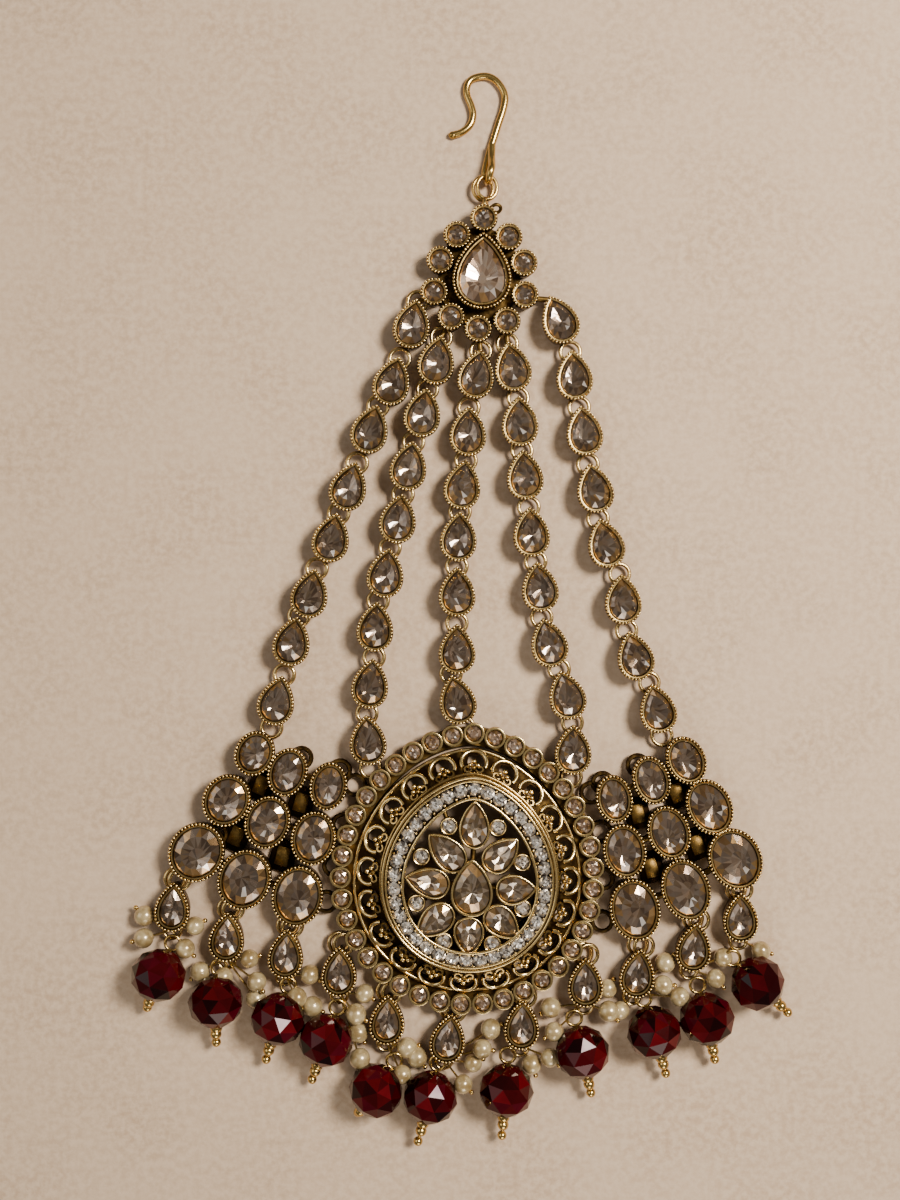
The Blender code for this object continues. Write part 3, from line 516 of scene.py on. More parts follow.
# Painted glints: white tones that stand for a lamp's highlight on a facet.
PAINTED_GLINTS = [(0.97, 0.94, 0.92), (0.86, 0.80, 0.76)]
AMBER = [(0.26, 0.155, 0.055), (0.36, 0.22, 0.09), (0.14, 0.08, 0.03)]
CRYSTAL = [(0.72, 0.70, 0.66), (0.38, 0.36, 0.33), (0.92, 0.90, 0.86), (0.13, 0.12, 0.11),
           (0.54, 0.52, 0.48)]
INNER_SHARE = 0.7
RIM_OWN_TONE = 0.5
NEW_TONE = 0.55
PAINTED_GLINT_SIDE = Vector((0.5, -1.0, 0.0))
STONE_GAP = 0.05


def cut_stone(edge, base, rise, table=0.68, sink=0.5, point=(0.0, -0.08)):
    """Crown facets, then two rows of back facets that meet at a sunken point."""
    bm = blank()
    ring = lay_ring(bm, at_height(edge, base))
    bm.faces.new(ring)
    half = [a.lerp(b, 0.5) for a, b in zip(edge, [*edge[1:], edge[0]])]
    top = lift_ring(bm, ring, at_height([spot * table for spot in half], base + rise))
    length = max(spot.y for spot in edge) - min(spot.y for spot in edge)
    centre = Vector((point[0] * length, point[1] * length, base + rise - sink))
    inner = [centre.lerp(Vector((spot.x * table, spot.y * table, base + rise)), 0.5)
             for spot in [*edge[1:], edge[0]]]
    middle = lift_ring(bm, top, inner)
    last = lift_ring(bm, middle, [centre] * len(middle))
    bmesh.ops.pointmerge(bm, verts=last, merge_co=centre)
    walls = [face for face in bm.faces if len(face.verts) == 4]
    bmesh.ops.triangulate(bm, faces=walls)
    return shape_of(bm)


def tint_face(mesh, face, tone):
    for corner in face.loop_indices:
        mesh.attributes["tint_and_reflection"].data[corner].color = rgb(*tone)


def set_stone(bm, shape, placement, tones=CHAMPAGNE, rim_tones=AMBER, painted_glints=1):
    """Place a stone and paint each facet its own tone with painted reflections, warm at the edge,
    and painted white glints low down.
    """
    copy = shape.copy()
    middle = sum((face.center for face in copy.polygons), Vector()) / len(copy.polygons)
    reach = max((face.center - middle).length for face in copy.polygons)
    inner = [face.index for face in copy.polygons
             if (face.center - middle).length < INNER_SHARE * reach]
    # Painted glints go on the inner facets nearest the lower right.
    low = sorted(inner, key=lambda index: copy.polygons[index].center.dot(-PAINTED_GLINT_SIDE))
    painted_glint_faces = draw.sample(low[:painted_glints + 3], painted_glints)
    tone = draw.choice(tones)
    for face in copy.polygons:
        if face.index not in inner:
            tone = draw.choice(tones if draw.random() < RIM_OWN_TONE else rim_tones)
        elif draw.random() < NEW_TONE:
            tone = draw.choice(tones)
        shown = draw.choice(PAINTED_GLINTS) if face.index in painted_glint_faces else tone
        level = draw.uniform(0.85, 1.1)
        tint_face(copy, face, [part * level for part in shown])
    stamp(bm, copy, placement)
    bpy.data.meshes.remove(copy)


# %% [markdown]
# Rings, scrolls and pins are wire. A bevelled curve gives wire of one thickness along any path,
# and it is turned into a mesh here because the painted wear and shade need mesh points.

# %% Wire


def wire(points, radius, closed=False, wear_and_shade=0.8, sides=2):
    """Round wire along 3-D points, drawn in millimetres."""
    curve = bpy.data.curves.new("wire", "CURVE")
    curve.dimensions = "3D"
    curve.bevel_depth = radius
    curve.bevel_resolution = sides
    curve.use_fill_caps = True
    spline = curve.splines.new("POLY")
    spline.points.add(len(points) - 1)
    for slot, point in zip(spline.points, points):
        slot.co = (*point, 1.0)
    spline.use_cyclic_u = closed
    guide = bpy.data.objects.new("wire", curve)
    bpy.context.scene.collection.objects.link(guide)
    reader = bpy.context.evaluated_depsgraph_get()
    reader.update()
    bm = blank()
    bm.from_mesh(guide.evaluated_get(reader).to_mesh())
    bmesh.ops.remove_doubles(bm, verts=bm.verts[:], dist=0.001)
    paint(bm, bm.verts, wear_and_shade)
    bpy.data.objects.remove(guide)
    return shape_of(bm)


def smoothed(points, per_span=6):
    """A smooth curve through the points."""
    padded = [2 * points[0] - points[1], *points, 2 * points[-1] - points[-2]]
    path = []
    for before, start, end, after in zip(padded, padded[1:], padded[2:], padded[3:]):
        for step in range(per_span):
            t = step / per_span
            bend = 2 * before - 5 * start + 4 * end - after
            twist = 3 * start - before - 3 * end + after
            path.append((2 * start + (end - before) * t + bend * t * t + twist * t ** 3) / 2)
    return [*path, points[-1]]


def wire_ring(radius, thickness, wear_and_shade=0.8, count=20, sides=2):
    turns = [2 * math.pi * step / count for step in range(count)]
    points = [Vector((math.cos(turn) * radius, math.sin(turn) * radius, 0.0)) for turn in turns]
    return wire(points, thickness, closed=True, wear_and_shade=wear_and_shade, sides=sides)


jump_ring = wire_ring(1.52, 0.31, wear_and_shade=0.78)
print("jump ring", len(jump_ring.polygons), "faces")

# %% [markdown]
# Each chain is a row of pear settings, all tips upwards, joined by jump rings that lie flat
# behind them. The places were measured on the photograph, as tip x, tip y, end x, end y in
# millimetres, because a real chain never lies at quite even steps.

# %% Places along the chains

CHAIN_PLACES = {
    "chain_1": (
        (-6.66, 48.14, -8.16, 40.62), (-9.37, 39.42, -11.47, 32.05),
        (-12.67, 32.20, -14.78, 24.83), (-15.83, 23.63, -18.09, 16.11),
        (-18.69, 15.81, -20.49, 8.44), (-22.00, 7.38, -23.65, 0.02),
        (-24.71, 0.17, -26.36, -7.20), (-26.96, -8.71, -28.77, -16.23),
    ),
    "chain_2": (
        (-3.05, 42.72, -4.40, 35.05), (-5.16, 34.75, -6.51, 27.23),
        (-7.26, 26.78, -8.61, 19.11), (-8.92, 18.51, -10.12, 11.44),
        (-10.87, 10.39, -11.92, 3.17), (-12.67, 2.42, -13.28, -5.10),
        (-13.28, -6.15, -14.18, -13.67), (-14.33, -14.87, -13.88, -22.09),
    ),
    "chain_3": (
        (2.96, 40.47, 1.61, 33.10), (1.16, 31.90, 0.86, 24.38),
        (0.71, 23.78, -0.34, 16.41), (-0.19, 15.81, -0.64, 8.74),
        (-0.64, 7.53, -0.64, 0.32), (-0.64, -0.89, -0.64, -8.56),
        (-1.40, -9.01, 0.11, -15.62),
    ),
    "chain_4": (
        (7.03, 41.67, 8.38, 34.15), (8.68, 33.25, 8.98, 26.03),
        (9.28, 25.28, 9.88, 17.91), (10.33, 16.56, 10.78, 9.34),
        (11.39, 8.29, 12.29, 1.07), (12.29, 0.02, 14.09, -7.50),
        (15.00, -8.11, 16.80, -15.17), (16.95, -16.23, 16.80, -23.60),
    ),
    "chain_5": (
        (13.34, 48.44, 16.20, 41.67), (16.65, 40.32, 17.40, 32.95),
        (18.00, 31.90, 19.06, 24.53), (19.36, 23.17, 20.86, 15.96),
        (20.86, 15.05, 22.67, 7.53), (24.17, 6.48, 24.62, -0.89),
        (25.22, -1.94, 27.18, -9.46), (28.68, -9.91, 30.49, -17.43),
    ),
}
print("chain settings", sum(len(places) for places in CHAIN_PLACES.values()))

# %% [markdown]
# One cup and four cuts of stone serve all the chain settings. The stones get their tones one by
# one, so no two look alike.

# %% The five chains

CHAIN_SIZE, CHAIN_HEIGHT, CHAIN_RIM = (5.6, 7.6), 3.7, 0.64

chain_cup = collet(pear_edge(*CHAIN_SIZE, 36), CHAIN_HEIGHT, CHAIN_RIM, milled=37)
chain_inside = drawn_in(pear_edge(*CHAIN_SIZE, 14), CHAIN_RIM + STONE_GAP)
chain_stones = [cut_stone(chain_inside, CHAIN_HEIGHT - 0.34, 0.50, sink=sink, point=point)
                for sink, point in ((0.5, (0.02, -0.08)), (0.72, (0.10, -0.04)),
                                    (0.30, (-0.08, -0.20)), (0.62, (-0.14, 0.02)))]


def make_chain(name, places):
    metal, stones = blank(), blank()
    half = CHAIN_SIZE[1] / 2
    for number, ends in enumerate(places):
        place = between(ends[:2], ends[2:])
        stamp(metal, chain_cup, place)
        set_stone(stones, draw.choice(chain_stones), place)
        tilt = turned(draw.uniform(-8, 8), "Y")
        if (name, number) != ("chain_5", 0):
            link = place @ moved(0.0, half + 0.1, 1.3) @ tilt
            stamp(metal, jump_ring, link)
    last = place @ moved(0.0, -half - 0.6, 1.2)
    stamp(metal, jump_ring, last)
    finish_set(name, metal, stones, [name])


for chain_name, chain_places in CHAIN_PLACES.items():
    make_chain(chain_name, chain_places)

# %% [markdown]
# The side panels are three columns of oval settings, soldered end to end, small at the top and
# large at the bottom. Bars at the back hold the columns together. Each oval has its own place,
# width, length and lean, so each gets its own cup, with the beads of its rim at the same pitch.

# %% The side panels

OVALS = {
    "side_panel_left": (
        (-31.17, -20.44, 6.0, 7.0, 25),
        (-35.38, -27.51, 7.2, 8.1, 27),
        (-39.89, -35.33, 8.4, 9.2, 30),
        (-26.21, -23.29, 6.0, 7.5, 20),
        (-29.22, -30.81, 6.9, 8.2, 20),
        (-32.68, -39.44, 8.1, 9.3, 20),
        (-20.04, -25.40, 5.7, 7.4, 12),
        (-22.30, -33.22, 6.8, 8.3, 12),
        (-24.71, -41.94, 7.8, 9.3, 11),
    ),
    "side_panel_right": (
        (33.91, -21.49, 6.0, 7.5, -25),
        (37.40, -28.51, 6.9, 8.8, -27),
        (41.27, -36.38, 8.1, 9.6, -26),
        (28.68, -24.50, 5.7, 7.5, -17),
        (31.30, -32.39, 6.5, 8.3, -18),
        (33.84, -40.99, 7.4, 9.6, -18),
        (23.07, -27.35, 5.6, 7.4, -10),
        (24.62, -35.17, 6.6, 8.3, -11),
        (26.18, -44.00, 7.7, 9.5, -12),
    ),
}
OVAL_RIM = 0.76
OVAL_HEIGHT, HEIGHT_BY_WIDTH = 3.3, 0.08
GRAIN_PITCH = 0.60


def bar(start, end, height, radius=0.55):
    return wire([Vector((*start, height)), Vector((*end, height))], radius, wear_and_shade=0.25)


def tile(width, length, low, high, wear_and_shade):
    """A small bar seen from above, with its edges broken."""
    bm = blank()
    block = Matrix.Translation((0.0, 0.0, (low + high) / 2)) @ Matrix.Diagonal(
        (width, length, high - low, 1))
    bmesh.ops.create_cube(bm, size=1.0, matrix=block)
    bmesh.ops.bevel(bm, geom=bm.edges[:], offset=0.14, segments=1, profile=0.5, affect="EDGES",
                    material=-1)
    paint(bm, bm.verts, wear_and_shade)
    return shape_of(bm)


PANEL_LINKS = {
    "side_panel_left": ((-16.2, -25.5), (-18.0, -31.5), (-19.4, -37.8), (-20.6, -43.3)),
    "side_panel_right": ((19.8, -26.7), (21.3, -32.6), (21.6, -39.8), (21.5, -46.3)),
}
dark_ring = wire_ring(1.5, 0.36, wear_and_shade=0.12, sides=1)
under_bar = tile(3.8, 4.8, 0.3, 1.0, wear_and_shade=0.0)
olive_bar = tile(2.1, 3.0, 0.9, 1.5, wear_and_shade=0.27)


def panel_back(metal, name, ovals):
    """Bars between every four ovals, a column being three of them, and dark rings behind."""
    for first in (0, 1, 3, 4):
        around = [ovals[first + step] for step in (0, 1, 3, 4)]
        middle = [sum(oval[part] for oval in around) / 4 for part in (0, 1, 4)]
        for shape in (under_bar, olive_bar):
            stamp(metal, shape, standing(middle[:2], middle[2]))
    side = 1 if name == "side_panel_left" else -1
    for x, y, _, length, lean in (ovals[3], ovals[6], ovals[2]):
        behind = moved(side * 1.1, length / 2 - 1.3, 1.2)
        stamp(metal, dark_ring, standing((x, y), lean) @ behind)
    for spot in PANEL_LINKS[name]:
        stamp(metal, dark_ring, standing(spot, 0.0, 1.2))


def make_panel(name, ovals):
    metal, stones = blank(), blank()
    panel_back(metal, name, ovals)
    for x, y, width, length, lean in ovals:
        height = OVAL_HEIGHT + width * HEIGHT_BY_WIDTH
        beads = round(math.pi * (width + length) / 2 / GRAIN_PITCH)
        cup = collet(oval_edge(width, length, 40), height, OVAL_RIM, milled=beads)
        inside = drawn_in(oval_edge(width, length, 16), OVAL_RIM + STONE_GAP)
        stone = cut_stone(inside, height - 0.36, 0.50,
                          point=(draw.uniform(-0.12, 0.12), draw.uniform(-0.16, 0.02)))
        stamp(metal, cup, standing((x, y), lean))
        set_stone(stones, stone, standing((x, y), lean), painted_glints=2)
    for oval, neighbour in zip(ovals, ovals[3:]):
        stamp(metal, bar(oval[:2], neighbour[:2], 1.1))
    finish_set(name, metal, stones, [name])


for panel_name, panel_ovals in OVALS.items():
    make_panel(panel_name, panel_ovals)

# %% [markdown]
# The flower is a large pear with ten small round settings about it, all with milled rims. They
# are soldered to a plate, which shows only as dark gaps between them.

# %% The crown flower

FLOWER_ROUNDS = (
    (3.42, 60.41), (-0.64, 57.85), (-3.20, 54.08), (-4.11, 49.26), (-1.55, 45.50),
    (2.52, 43.69), (6.89, 44.89), (9.60, 48.81), (9.45, 53.63), (7.19, 57.55),
)
FLOWER_PEAR, FLOWER_LEAN = (3.15, 52.17), 2.0
FLOWER_SIZE, FLOWER_RIM = (8.9, 11.5), 0.95


def make_flower():
    metal, stones = blank(), blank()
    place = standing(FLOWER_PEAR, FLOWER_LEAN)
    cup = collet(pear_edge(*FLOWER_SIZE, 56), 4.4, FLOWER_RIM, milled=58)
    stamp(metal, cup, place)
    inside = drawn_in(pear_edge(*FLOWER_SIZE, 20), FLOWER_RIM + STONE_GAP)
    large_stone = cut_stone(inside, 4.0, 0.55, table=0.72, sink=0.75, point=(0.0, -0.14))
    set_stone(stones, large_stone, place, tones=ROSE, painted_glints=2)
    small_cup = collet(round_edge(4.2, 26), 3.5, 0.62, milled=23, grain=0.24)
    small_stone = cut_stone(round_edge(2.98, 10), 3.15, 0.32, table=0.62, sink=0.45,
                            point=(0.05, 0.0))
    for spot in FLOWER_ROUNDS:
        stamp(metal, small_cup, standing(spot, draw.uniform(0, 30)))
        set_stone(stones, small_stone, standing(spot, draw.uniform(0, 360)), painted_glints=2)
    plate = hoop([at_height(oval_edge(size, size + 2.4, 30), level) for size, level in
                  ((12.6, 0.3), (12.6, 1.5), (6.0, 1.5), (6.0, 0.3))], (0.1, 0.15, 0.1, 0.0))
    stamp(metal, plate, standing((2.75, 52.0), FLOWER_LEAN))
    for name, places in CHAIN_PLACES.items():
        tip = Vector(places[0][:2])
        near = min((Vector(spot) for spot in FLOWER_ROUNDS), key=lambda spot: (spot - tip).length)
        stamp(metal, bar(near, tip, 1.3, radius=0.45))
    upright = moved(3.72, 62.75, 1.5) @ turned(80, "Y")
    stamp(metal, wire_ring(1.05, 0.32), upright)
    stamp(metal, wire_ring(0.7, 0.28, wear_and_shade=0.2),
          moved(5.3, 62.1, 2.2) @ turned(50, "X"))
    finish_set("crown_flower", metal, stones, ["crown_flower"])


make_flower()

# %% [markdown]
# The hook is one bent wire. It lies flat, and its lower end turns up into an eye that stands on
# edge, so from above the eye looks like two wires side by side. A split ring wound twice joins it
# to the flower.

# %% The hook and its ring

HOOK_PATH = (
    (-1.24, 73.83), (0.14, 74.29), (1.36, 75.36), (1.82, 76.89), (1.51, 78.41), (0.90, 79.94),
    (0.90, 81.32), (1.67, 82.39), (3.50, 82.85), (5.03, 82.39), (6.25, 81.01), (6.71, 79.48),
    (6.41, 77.65), (5.80, 75.81), (5.18, 73.83), (4.57, 71.99), (4.11, 70.31), (3.65, 68.37),
)
HOOK_WIRE = 1.1
EYE_TURN = 1.25
EYE_START, EYE_SWEEP, EYE_STEP = -100, 230, 30
EYE_PITCH = 1.1
SPLIT_NARROW = Matrix.Diagonal((0.86, 1.0, 1.0, 1.0))


def make_hook():
    low = HOOK_WIRE / 2
    flat = [Vector((x, y, low)) for x, y in HOOK_PATH]
    centre = Vector((3.75, 67.6, low + EYE_TURN))
    turns = []
    for swept in range(0, EYE_SWEEP + 1, EYE_STEP):
        angle = math.radians(EYE_START - swept)
        turns.append(centre + Vector((EYE_PITCH * (swept / EYE_SWEEP - 0.1),
                                      math.cos(angle) * EYE_TURN, math.sin(angle) * EYE_TURN)))
    turns += [turns[-1] + Vector((0.0, 1.6, -0.9)), turns[-1] + Vector((0.05, 3.6, -1.3))]
    metal = blank()
    path = smoothed([*flat, *turns], 5)
    stamp(metal, wire(path, HOOK_WIRE / 2, wear_and_shade=0.85, sides=4))
    grain_ball(metal, path[0], HOOK_WIRE * 0.55, 10, 8, 0.7, (1.2, 1.0, 0.9))
    finish_piece("hook_wire", metal, bright_gold, ["hook"])
    rings = blank()
    loop = wire_ring(1.78, 0.32, wear_and_shade=0.9, count=26, sides=3)
    for lift, shift in ((1.15, -0.22), (1.75, 0.38)):
        tilt = turned(7, "Y")
        stamp(rings, loop, moved(3.55 + shift, 65.45, lift) @ tilt @ SPLIT_NARROW)
    finish_piece("hook_split_ring", rings, bright_gold, ["hook_ring"])


make_hook()

# %% [markdown]
# The medallion is a shallow dome. From the outside in: a ring of small round settings on a rail,
# a thin wire, twenty C-scrolls with curls that spring from the frame, the raised pear frame with
# its row of white stones, and inside it a flower of pear settings over open air.

# %% Medallion outlines

# The middle, the size and the taper of each egg, from the outside in.
RING = (0.95, -37.97), (38.35, 40.98), 0.15
RAIL = (0.96, -38.24), (34.3, 36.5), 0.2
SCROLL = (1.14, -38.37), (30.4, 33.2), 0.2
FRAME = (1.24, -38.10), (26.1, 29.0), 0.2
INNER = (1.34, -38.32), (19.8, 22.8), 0.3
EGG_LEAN = 2.75


def egg(middle, size, taper, count, grow=0.0):
    """Points and outward directions round a leaning egg."""
    edge = pear_edge(size[0], size[1], count, taper)
    outer = drawn_in(edge, -1.0)
    turn = Matrix.Rotation(math.radians(-EGG_LEAN), 2)
    centre = Vector(middle)
    found = []
    for point, beyond in zip(edge, outer):
        outward = (turn @ (beyond - point)).normalized()
        found.append((centre + turn @ point + outward * grow, outward))
    return found


def egg_spots(middle, size, taper, height, grow=0.0, count=110):
    return [Vector((*point, height)) for point, _ in egg(middle, size, taper, count, grow)]


def egg_wire(middle, size, taper, height, radius, grow=0.0, wear_and_shade=0.8):
    return wire(egg_spots(middle, size, taper, height, grow), radius, closed=True, wear_and_shade=wear_and_shade)


# %% [markdown]
# The small settings of the ring have plain rims. Their cups stand on a rail that closes the foot
# of the dome, and from the side they look like a row of short tubes.

# %% Ring of round settings

STUDS = 38
FOOT = ((0.9, 0.0, 0.0), (0.9, 1.1, 0.2), (-1.9, 1.35, 0.2), (-2.1, 0.9, 0.1), (-1.9, 0.0, 0.0))


def ring_settings(metal, stones):
    """Settings on a rail. FOOT is its section, each point outwards, up and its wear with painted
    shade.
    """
    cup = collet(round_edge(3.3, 20), 3.1, 0.46)
    stone = cut_stone(round_edge(2.4, 8), 2.75, 0.28, table=0.60, sink=0.40, point=(0.04, 0.0))
    for spot, _ in egg(*RING, STUDS):
        lift = draw.uniform(-0.12, 0.10)
        taller = Matrix.Diagonal((1, 1, 1 + lift / 3, 1))
        stamp(metal, cup, standing(spot, draw.uniform(0, 360)) @ taller)
        set_stone(stones, stone, standing(spot, draw.uniform(0, 360), lift), tones=ROSE)
    stamp(metal, hoop([egg_spots(*RING, height, grow) for grow, height, _ in FOOT],
                      [wear_and_shade for *_, wear_and_shade in FOOT]))
    stamp(metal, egg_wire(*RAIL, 2.05, 0.30, wear_and_shade=1.0))


# %% [markdown]
# Under the scrolls the dome is a sloping band with twenty openings. Patina and painted shade
# darken their walls, so from above they look black. The band is made of twenty cells, each a hoop
# round its opening.

# %% Pierced band

SCROLLS = 20
CELL_STEPS = 5
BAND_HIGH, BAND_LOW, BAND_THICK = 3.9, 1.9, 1.5
HOLE_SHARE, HOLE_ROUNDNESS = 0.56, 0.6


def pierced_band(metal):
    count = SCROLLS * CELL_STEPS
    high = egg_spots(*FRAME, BAND_HIGH, 0.2, count=count)
    low = egg_spots(*RAIL, BAND_LOW, 0.1, count=count)
    down = Vector((0, 0, -BAND_THICK))
    for cell in range(SCROLLS):
        first = cell * CELL_STEPS - CELL_STEPS // 2
        around = [step % count for step in range(first, first + CELL_STEPS + 1)]
        edge = [high[step] for step in around]
        edge.append((high[around[-1]] + low[around[-1]]) / 2)
        edge += [low[step] for step in reversed(around)]
        edge.append((high[around[0]] + low[around[0]]) / 2)
        centre = sum(edge, Vector()) / len(edge)
        reach = sum((spot - centre).length for spot in edge) / len(edge)
        hole = []
        for spot in edge:
            out = spot - centre
            hole.append(centre + out * HOLE_SHARE * (reach / out.length) ** HOLE_ROUNDNESS)
        levels = [hole, edge, [spot + down for spot in edge], [spot + down for spot in hole]]
        # Painted shade: the walls of each opening get the lowest wear number, the near-black
        # patina colour.
        stamp(metal, hoop(levels, (0.0, 0.12, 0.0, 0.0)))


# %% [markdown]
# A C-scroll is an arch of wire that opens towards the frame. Each of its ends curls in, and four
# beads sit between the curls. It lies on the slope of the dome, over an opening of the band.

# %% Scrolls

ARCH_WIDE, ARCH_LONG, ARCH_REACH = 1.95, 1.8, 120
SCROLL_SLOPE = 27


def scroll():
    """One arch with its two curls and its beads, lying in its own plane, open towards +Y."""
    bm = blank()
    angles = [math.radians(angle) for angle in range(-ARCH_REACH, ARCH_REACH + 1, 15)]
    arch = [Vector((math.sin(angle) * ARCH_WIDE, 0.1 - math.cos(angle) * ARCH_LONG, 0.0))
            for angle in angles]
    stamp(bm, wire(arch, 0.34, wear_and_shade=1.0))
    for side in (-1, 1):
        turns = [(math.radians(165 - 40 * step), 0.66 - 0.05 * step) for step in range(9)]
        curl = [Vector((side * (0.95 + math.cos(angle) * reach), 1.25 + math.sin(angle) * reach,
                        0.10)) for angle, reach in turns]
        stamp(bm, wire(curl, 0.20, wear_and_shade=0.7, sides=1))
        grain_ball(bm, (side * 0.60, 0.72, 0.25), 0.40, 8, 6, 0.95)
    grain_ball(bm, (0.0, 0.12, 0.25), 0.42, 8, 6, 1.0)
    grain_ball(bm, (0.0, 1.10, 0.15), 0.42, 8, 6, 0.5)
    return shape_of(bm)


def ring_of_scrolls(metal):
    shape = scroll()
    slope = turned(SCROLL_SLOPE, "X")
    for spot, outward in egg(*SCROLL, SCROLLS, 0.1):
        lean = math.degrees(math.atan2(-outward.x, -outward.y))
        stamp(metal, shape, standing(spot, lean, 3.05) @ slope)


# %% [markdown]
# The frame is a band with a channel along its top. Two wires edge the channel outside and one
# inside, and a third outer wire runs lower down. The white stones sit in it shoulder to shoulder,
# each held by beads of metal.

# %% Raised frame with white stones

WHITE_STONES = 36
OUTER_WALL = ((0.10, 1.0, 0.0), (0.15, 3.6, 0.1), (0.25, 4.4, 0.5), (-0.05, 5.0, 0.1),
              (0.00, 6.2, 0.3), (-0.35, 6.35, 0.1), (-0.75, 6.30, 0.1), (-0.90, 5.95, 0.0))
INNER_WALL = ((0.50, 5.95, 0.0), (0.35, 6.30, 0.2), (0.00, 6.10, 0.2), (0.20, 1.0, 0.0))


def pear_frame(metal, crystals):
    """The walls are sections too, each point outwards, up and its wear with painted shade, near
    black at the foot.
    """
    levels = [egg_spots(*FRAME, height, grow) for grow, height, _ in OUTER_WALL]
    levels += [egg_spots(*INNER, height, grow) for grow, height, _ in INNER_WALL]
    stamp(metal, hoop(levels, [wear_and_shade for *_, wear_and_shade in OUTER_WALL + INNER_WALL]))
    for height, radius, grow, wear_and_shade in ((6.30, 0.22, -0.08, 1.0), (6.42, 0.17, -0.60, 0.9),
                                       (4.45, 0.26, 0.25, 0.7)):
        stamp(metal, egg_wire(*FRAME, height, radius, grow, wear_and_shade))
    stamp(metal, egg_wire(*INNER, 6.35, 0.23, 0.12, 1.0))
    half_way = [(outer.xy + inner.xy) / 2 for outer, inner in zip(
        egg_spots(*FRAME, 0.0, -0.4, FINE_STEPS),
        egg_spots(*INNER, 0.0, 0.1, FINE_STEPS))]
    stone = cut_stone(round_edge(2.15, 8), 6.15, 0.42, table=0.55, sink=0.30, point=(0.0, 0.0))
    seats = evened(half_way, WHITE_STONES)
    for spot, following in zip(seats, [*seats[1:], seats[0]]):
        set_stone(crystals, stone, standing(spot, draw.uniform(0, 45)), CRYSTAL, CRYSTAL, 2)
        across = (following - spot).normalized()
        side = Vector((across.y, -across.x))
        gap = spot.lerp(following, 0.5)
        for reach in (-0.82, 0.82):
            grain_ball(metal, (*(gap + side * reach), 6.42), 0.24, wear_and_shade=draw.uniform(0.7, 1.1))


# %% [markdown]
# Inside the frame eight pear settings point outwards round a larger one, with a small clear
# stone in a plain tube between each two. Thin bars at the back hold them, and between them the
# ornament is open down to the table.

# %% Flower inside the frame

HEART_TIP, HEART_END = (1.57, -35.84), (1.51, -44.29)
PETALS = (
    (2.02, -27.10, 1.95, -30.75),
    (8.50, -32.85, 6.01, -35.12),
    (11.22, -40.24, 8.15, -40.38),
    (8.55, -47.49, 6.12, -45.40),
    (1.03, -50.35, 1.08, -47.36),
    (-6.68, -47.19, -4.01, -45.10),
    (-8.43, -38.52, -5.06, -39.29),
    (-4.88, -32.10, -2.30, -34.75),
)
PETAL_WIDTH, PETAL_HEIGHT, PETAL_RIM = 4.65, 2.5, 0.36
HEART_SIZE, HEART_RIM = (6.3, 8.6), 0.42
PLAIN_GAP = 0.03
INNER_FOOT = 3.9
CLEAR_STONES = (
    (-1.85, -31.01), (5.45, -31.23), (-5.96, -35.55), (9.09, -36.40),
    (-6.69, -42.48), (9.17, -43.30), (-2.61, -48.18), (4.62, -48.58),
)


def inner_flower(metal, stones, crystals):
    hub = (Vector(HEART_TIP) + Vector(HEART_END)) / 2
    place = between(HEART_TIP, HEART_END, INNER_FOOT)
    stamp(metal, collet(pear_edge(*HEART_SIZE, 40), 2.8, HEART_RIM), place)
    inside = drawn_in(pear_edge(*HEART_SIZE, 16), HEART_RIM + PLAIN_GAP)
    stone = cut_stone(inside, 2.45, 0.60, table=0.62, sink=0.62, point=(0.0, -0.1))
    set_stone(stones, stone, place, tones=SMOKY)
    for petal in PETALS:
        tip, middle = Vector(petal[:2]), Vector(petal[2:])
        length = 2 * (tip - middle).length
        end = middle * 2 - tip
        place = between(tip, end, INNER_FOOT)
        stamp(metal, collet(pear_edge(PETAL_WIDTH, length, 32), PETAL_HEIGHT, PETAL_RIM), place)
        inside = drawn_in(pear_edge(PETAL_WIDTH, length, 12), PETAL_RIM + PLAIN_GAP)
        stone = cut_stone(inside, PETAL_HEIGHT - 0.35, 0.50, table=0.62, sink=0.52)
        set_stone(stones, stone, place, tones=SMOKY)
        stamp(metal, bar(hub, end.lerp(middle, 0.5), INNER_FOOT + 0.5, radius=0.42))
    tube = collet(round_edge(2.75, 18), 2.0, 0.34)
    stone = cut_stone(round_edge(2.1, 8), 1.72, 0.30, table=0.58, sink=0.35, point=(0.0, 0.0))
    for spot in CLEAR_STONES:
        stamp(metal, tube, standing(spot, 0.0, INNER_FOOT))
        place = standing(spot, draw.uniform(0, 45), INNER_FOOT)
        set_stone(crystals, stone, place, CRYSTAL, CRYSTAL, 2)
        centre = Vector(spot)
        outward = (centre - hub).normalized()
        stamp(metal, bar(centre - outward * 1.6, centre + outward * 2.0, INNER_FOOT + 0.4,
                         radius=0.36))


def make_medallion():
    metal, stones, crystals = blank(), blank(), blank()
    ring_settings(metal, stones)
    pierced_band(metal)
    ring_of_scrolls(metal)
    pear_frame(metal, crystals)
    inner_flower(metal, stones, crystals)
    finish_piece("medallion_openwork", metal, antique_gold, ["medallion"])
    finish_piece("medallion_stones", stones, stone_look, sharp=None)
    finish_piece("medallion_clear_stones", crystals, stone_look, sharp=None)


make_medallion()

# %% [markdown]
# Each drop has a small pear setting, a red faceted bead on a headed pin, and a few pearls on
# short pins gathered in the same loop. They lie where they fell. The table gives, in millimetres,
# the setting's tip and end, the middle of the bead and the ball of its pin.

# %% Places of the drops

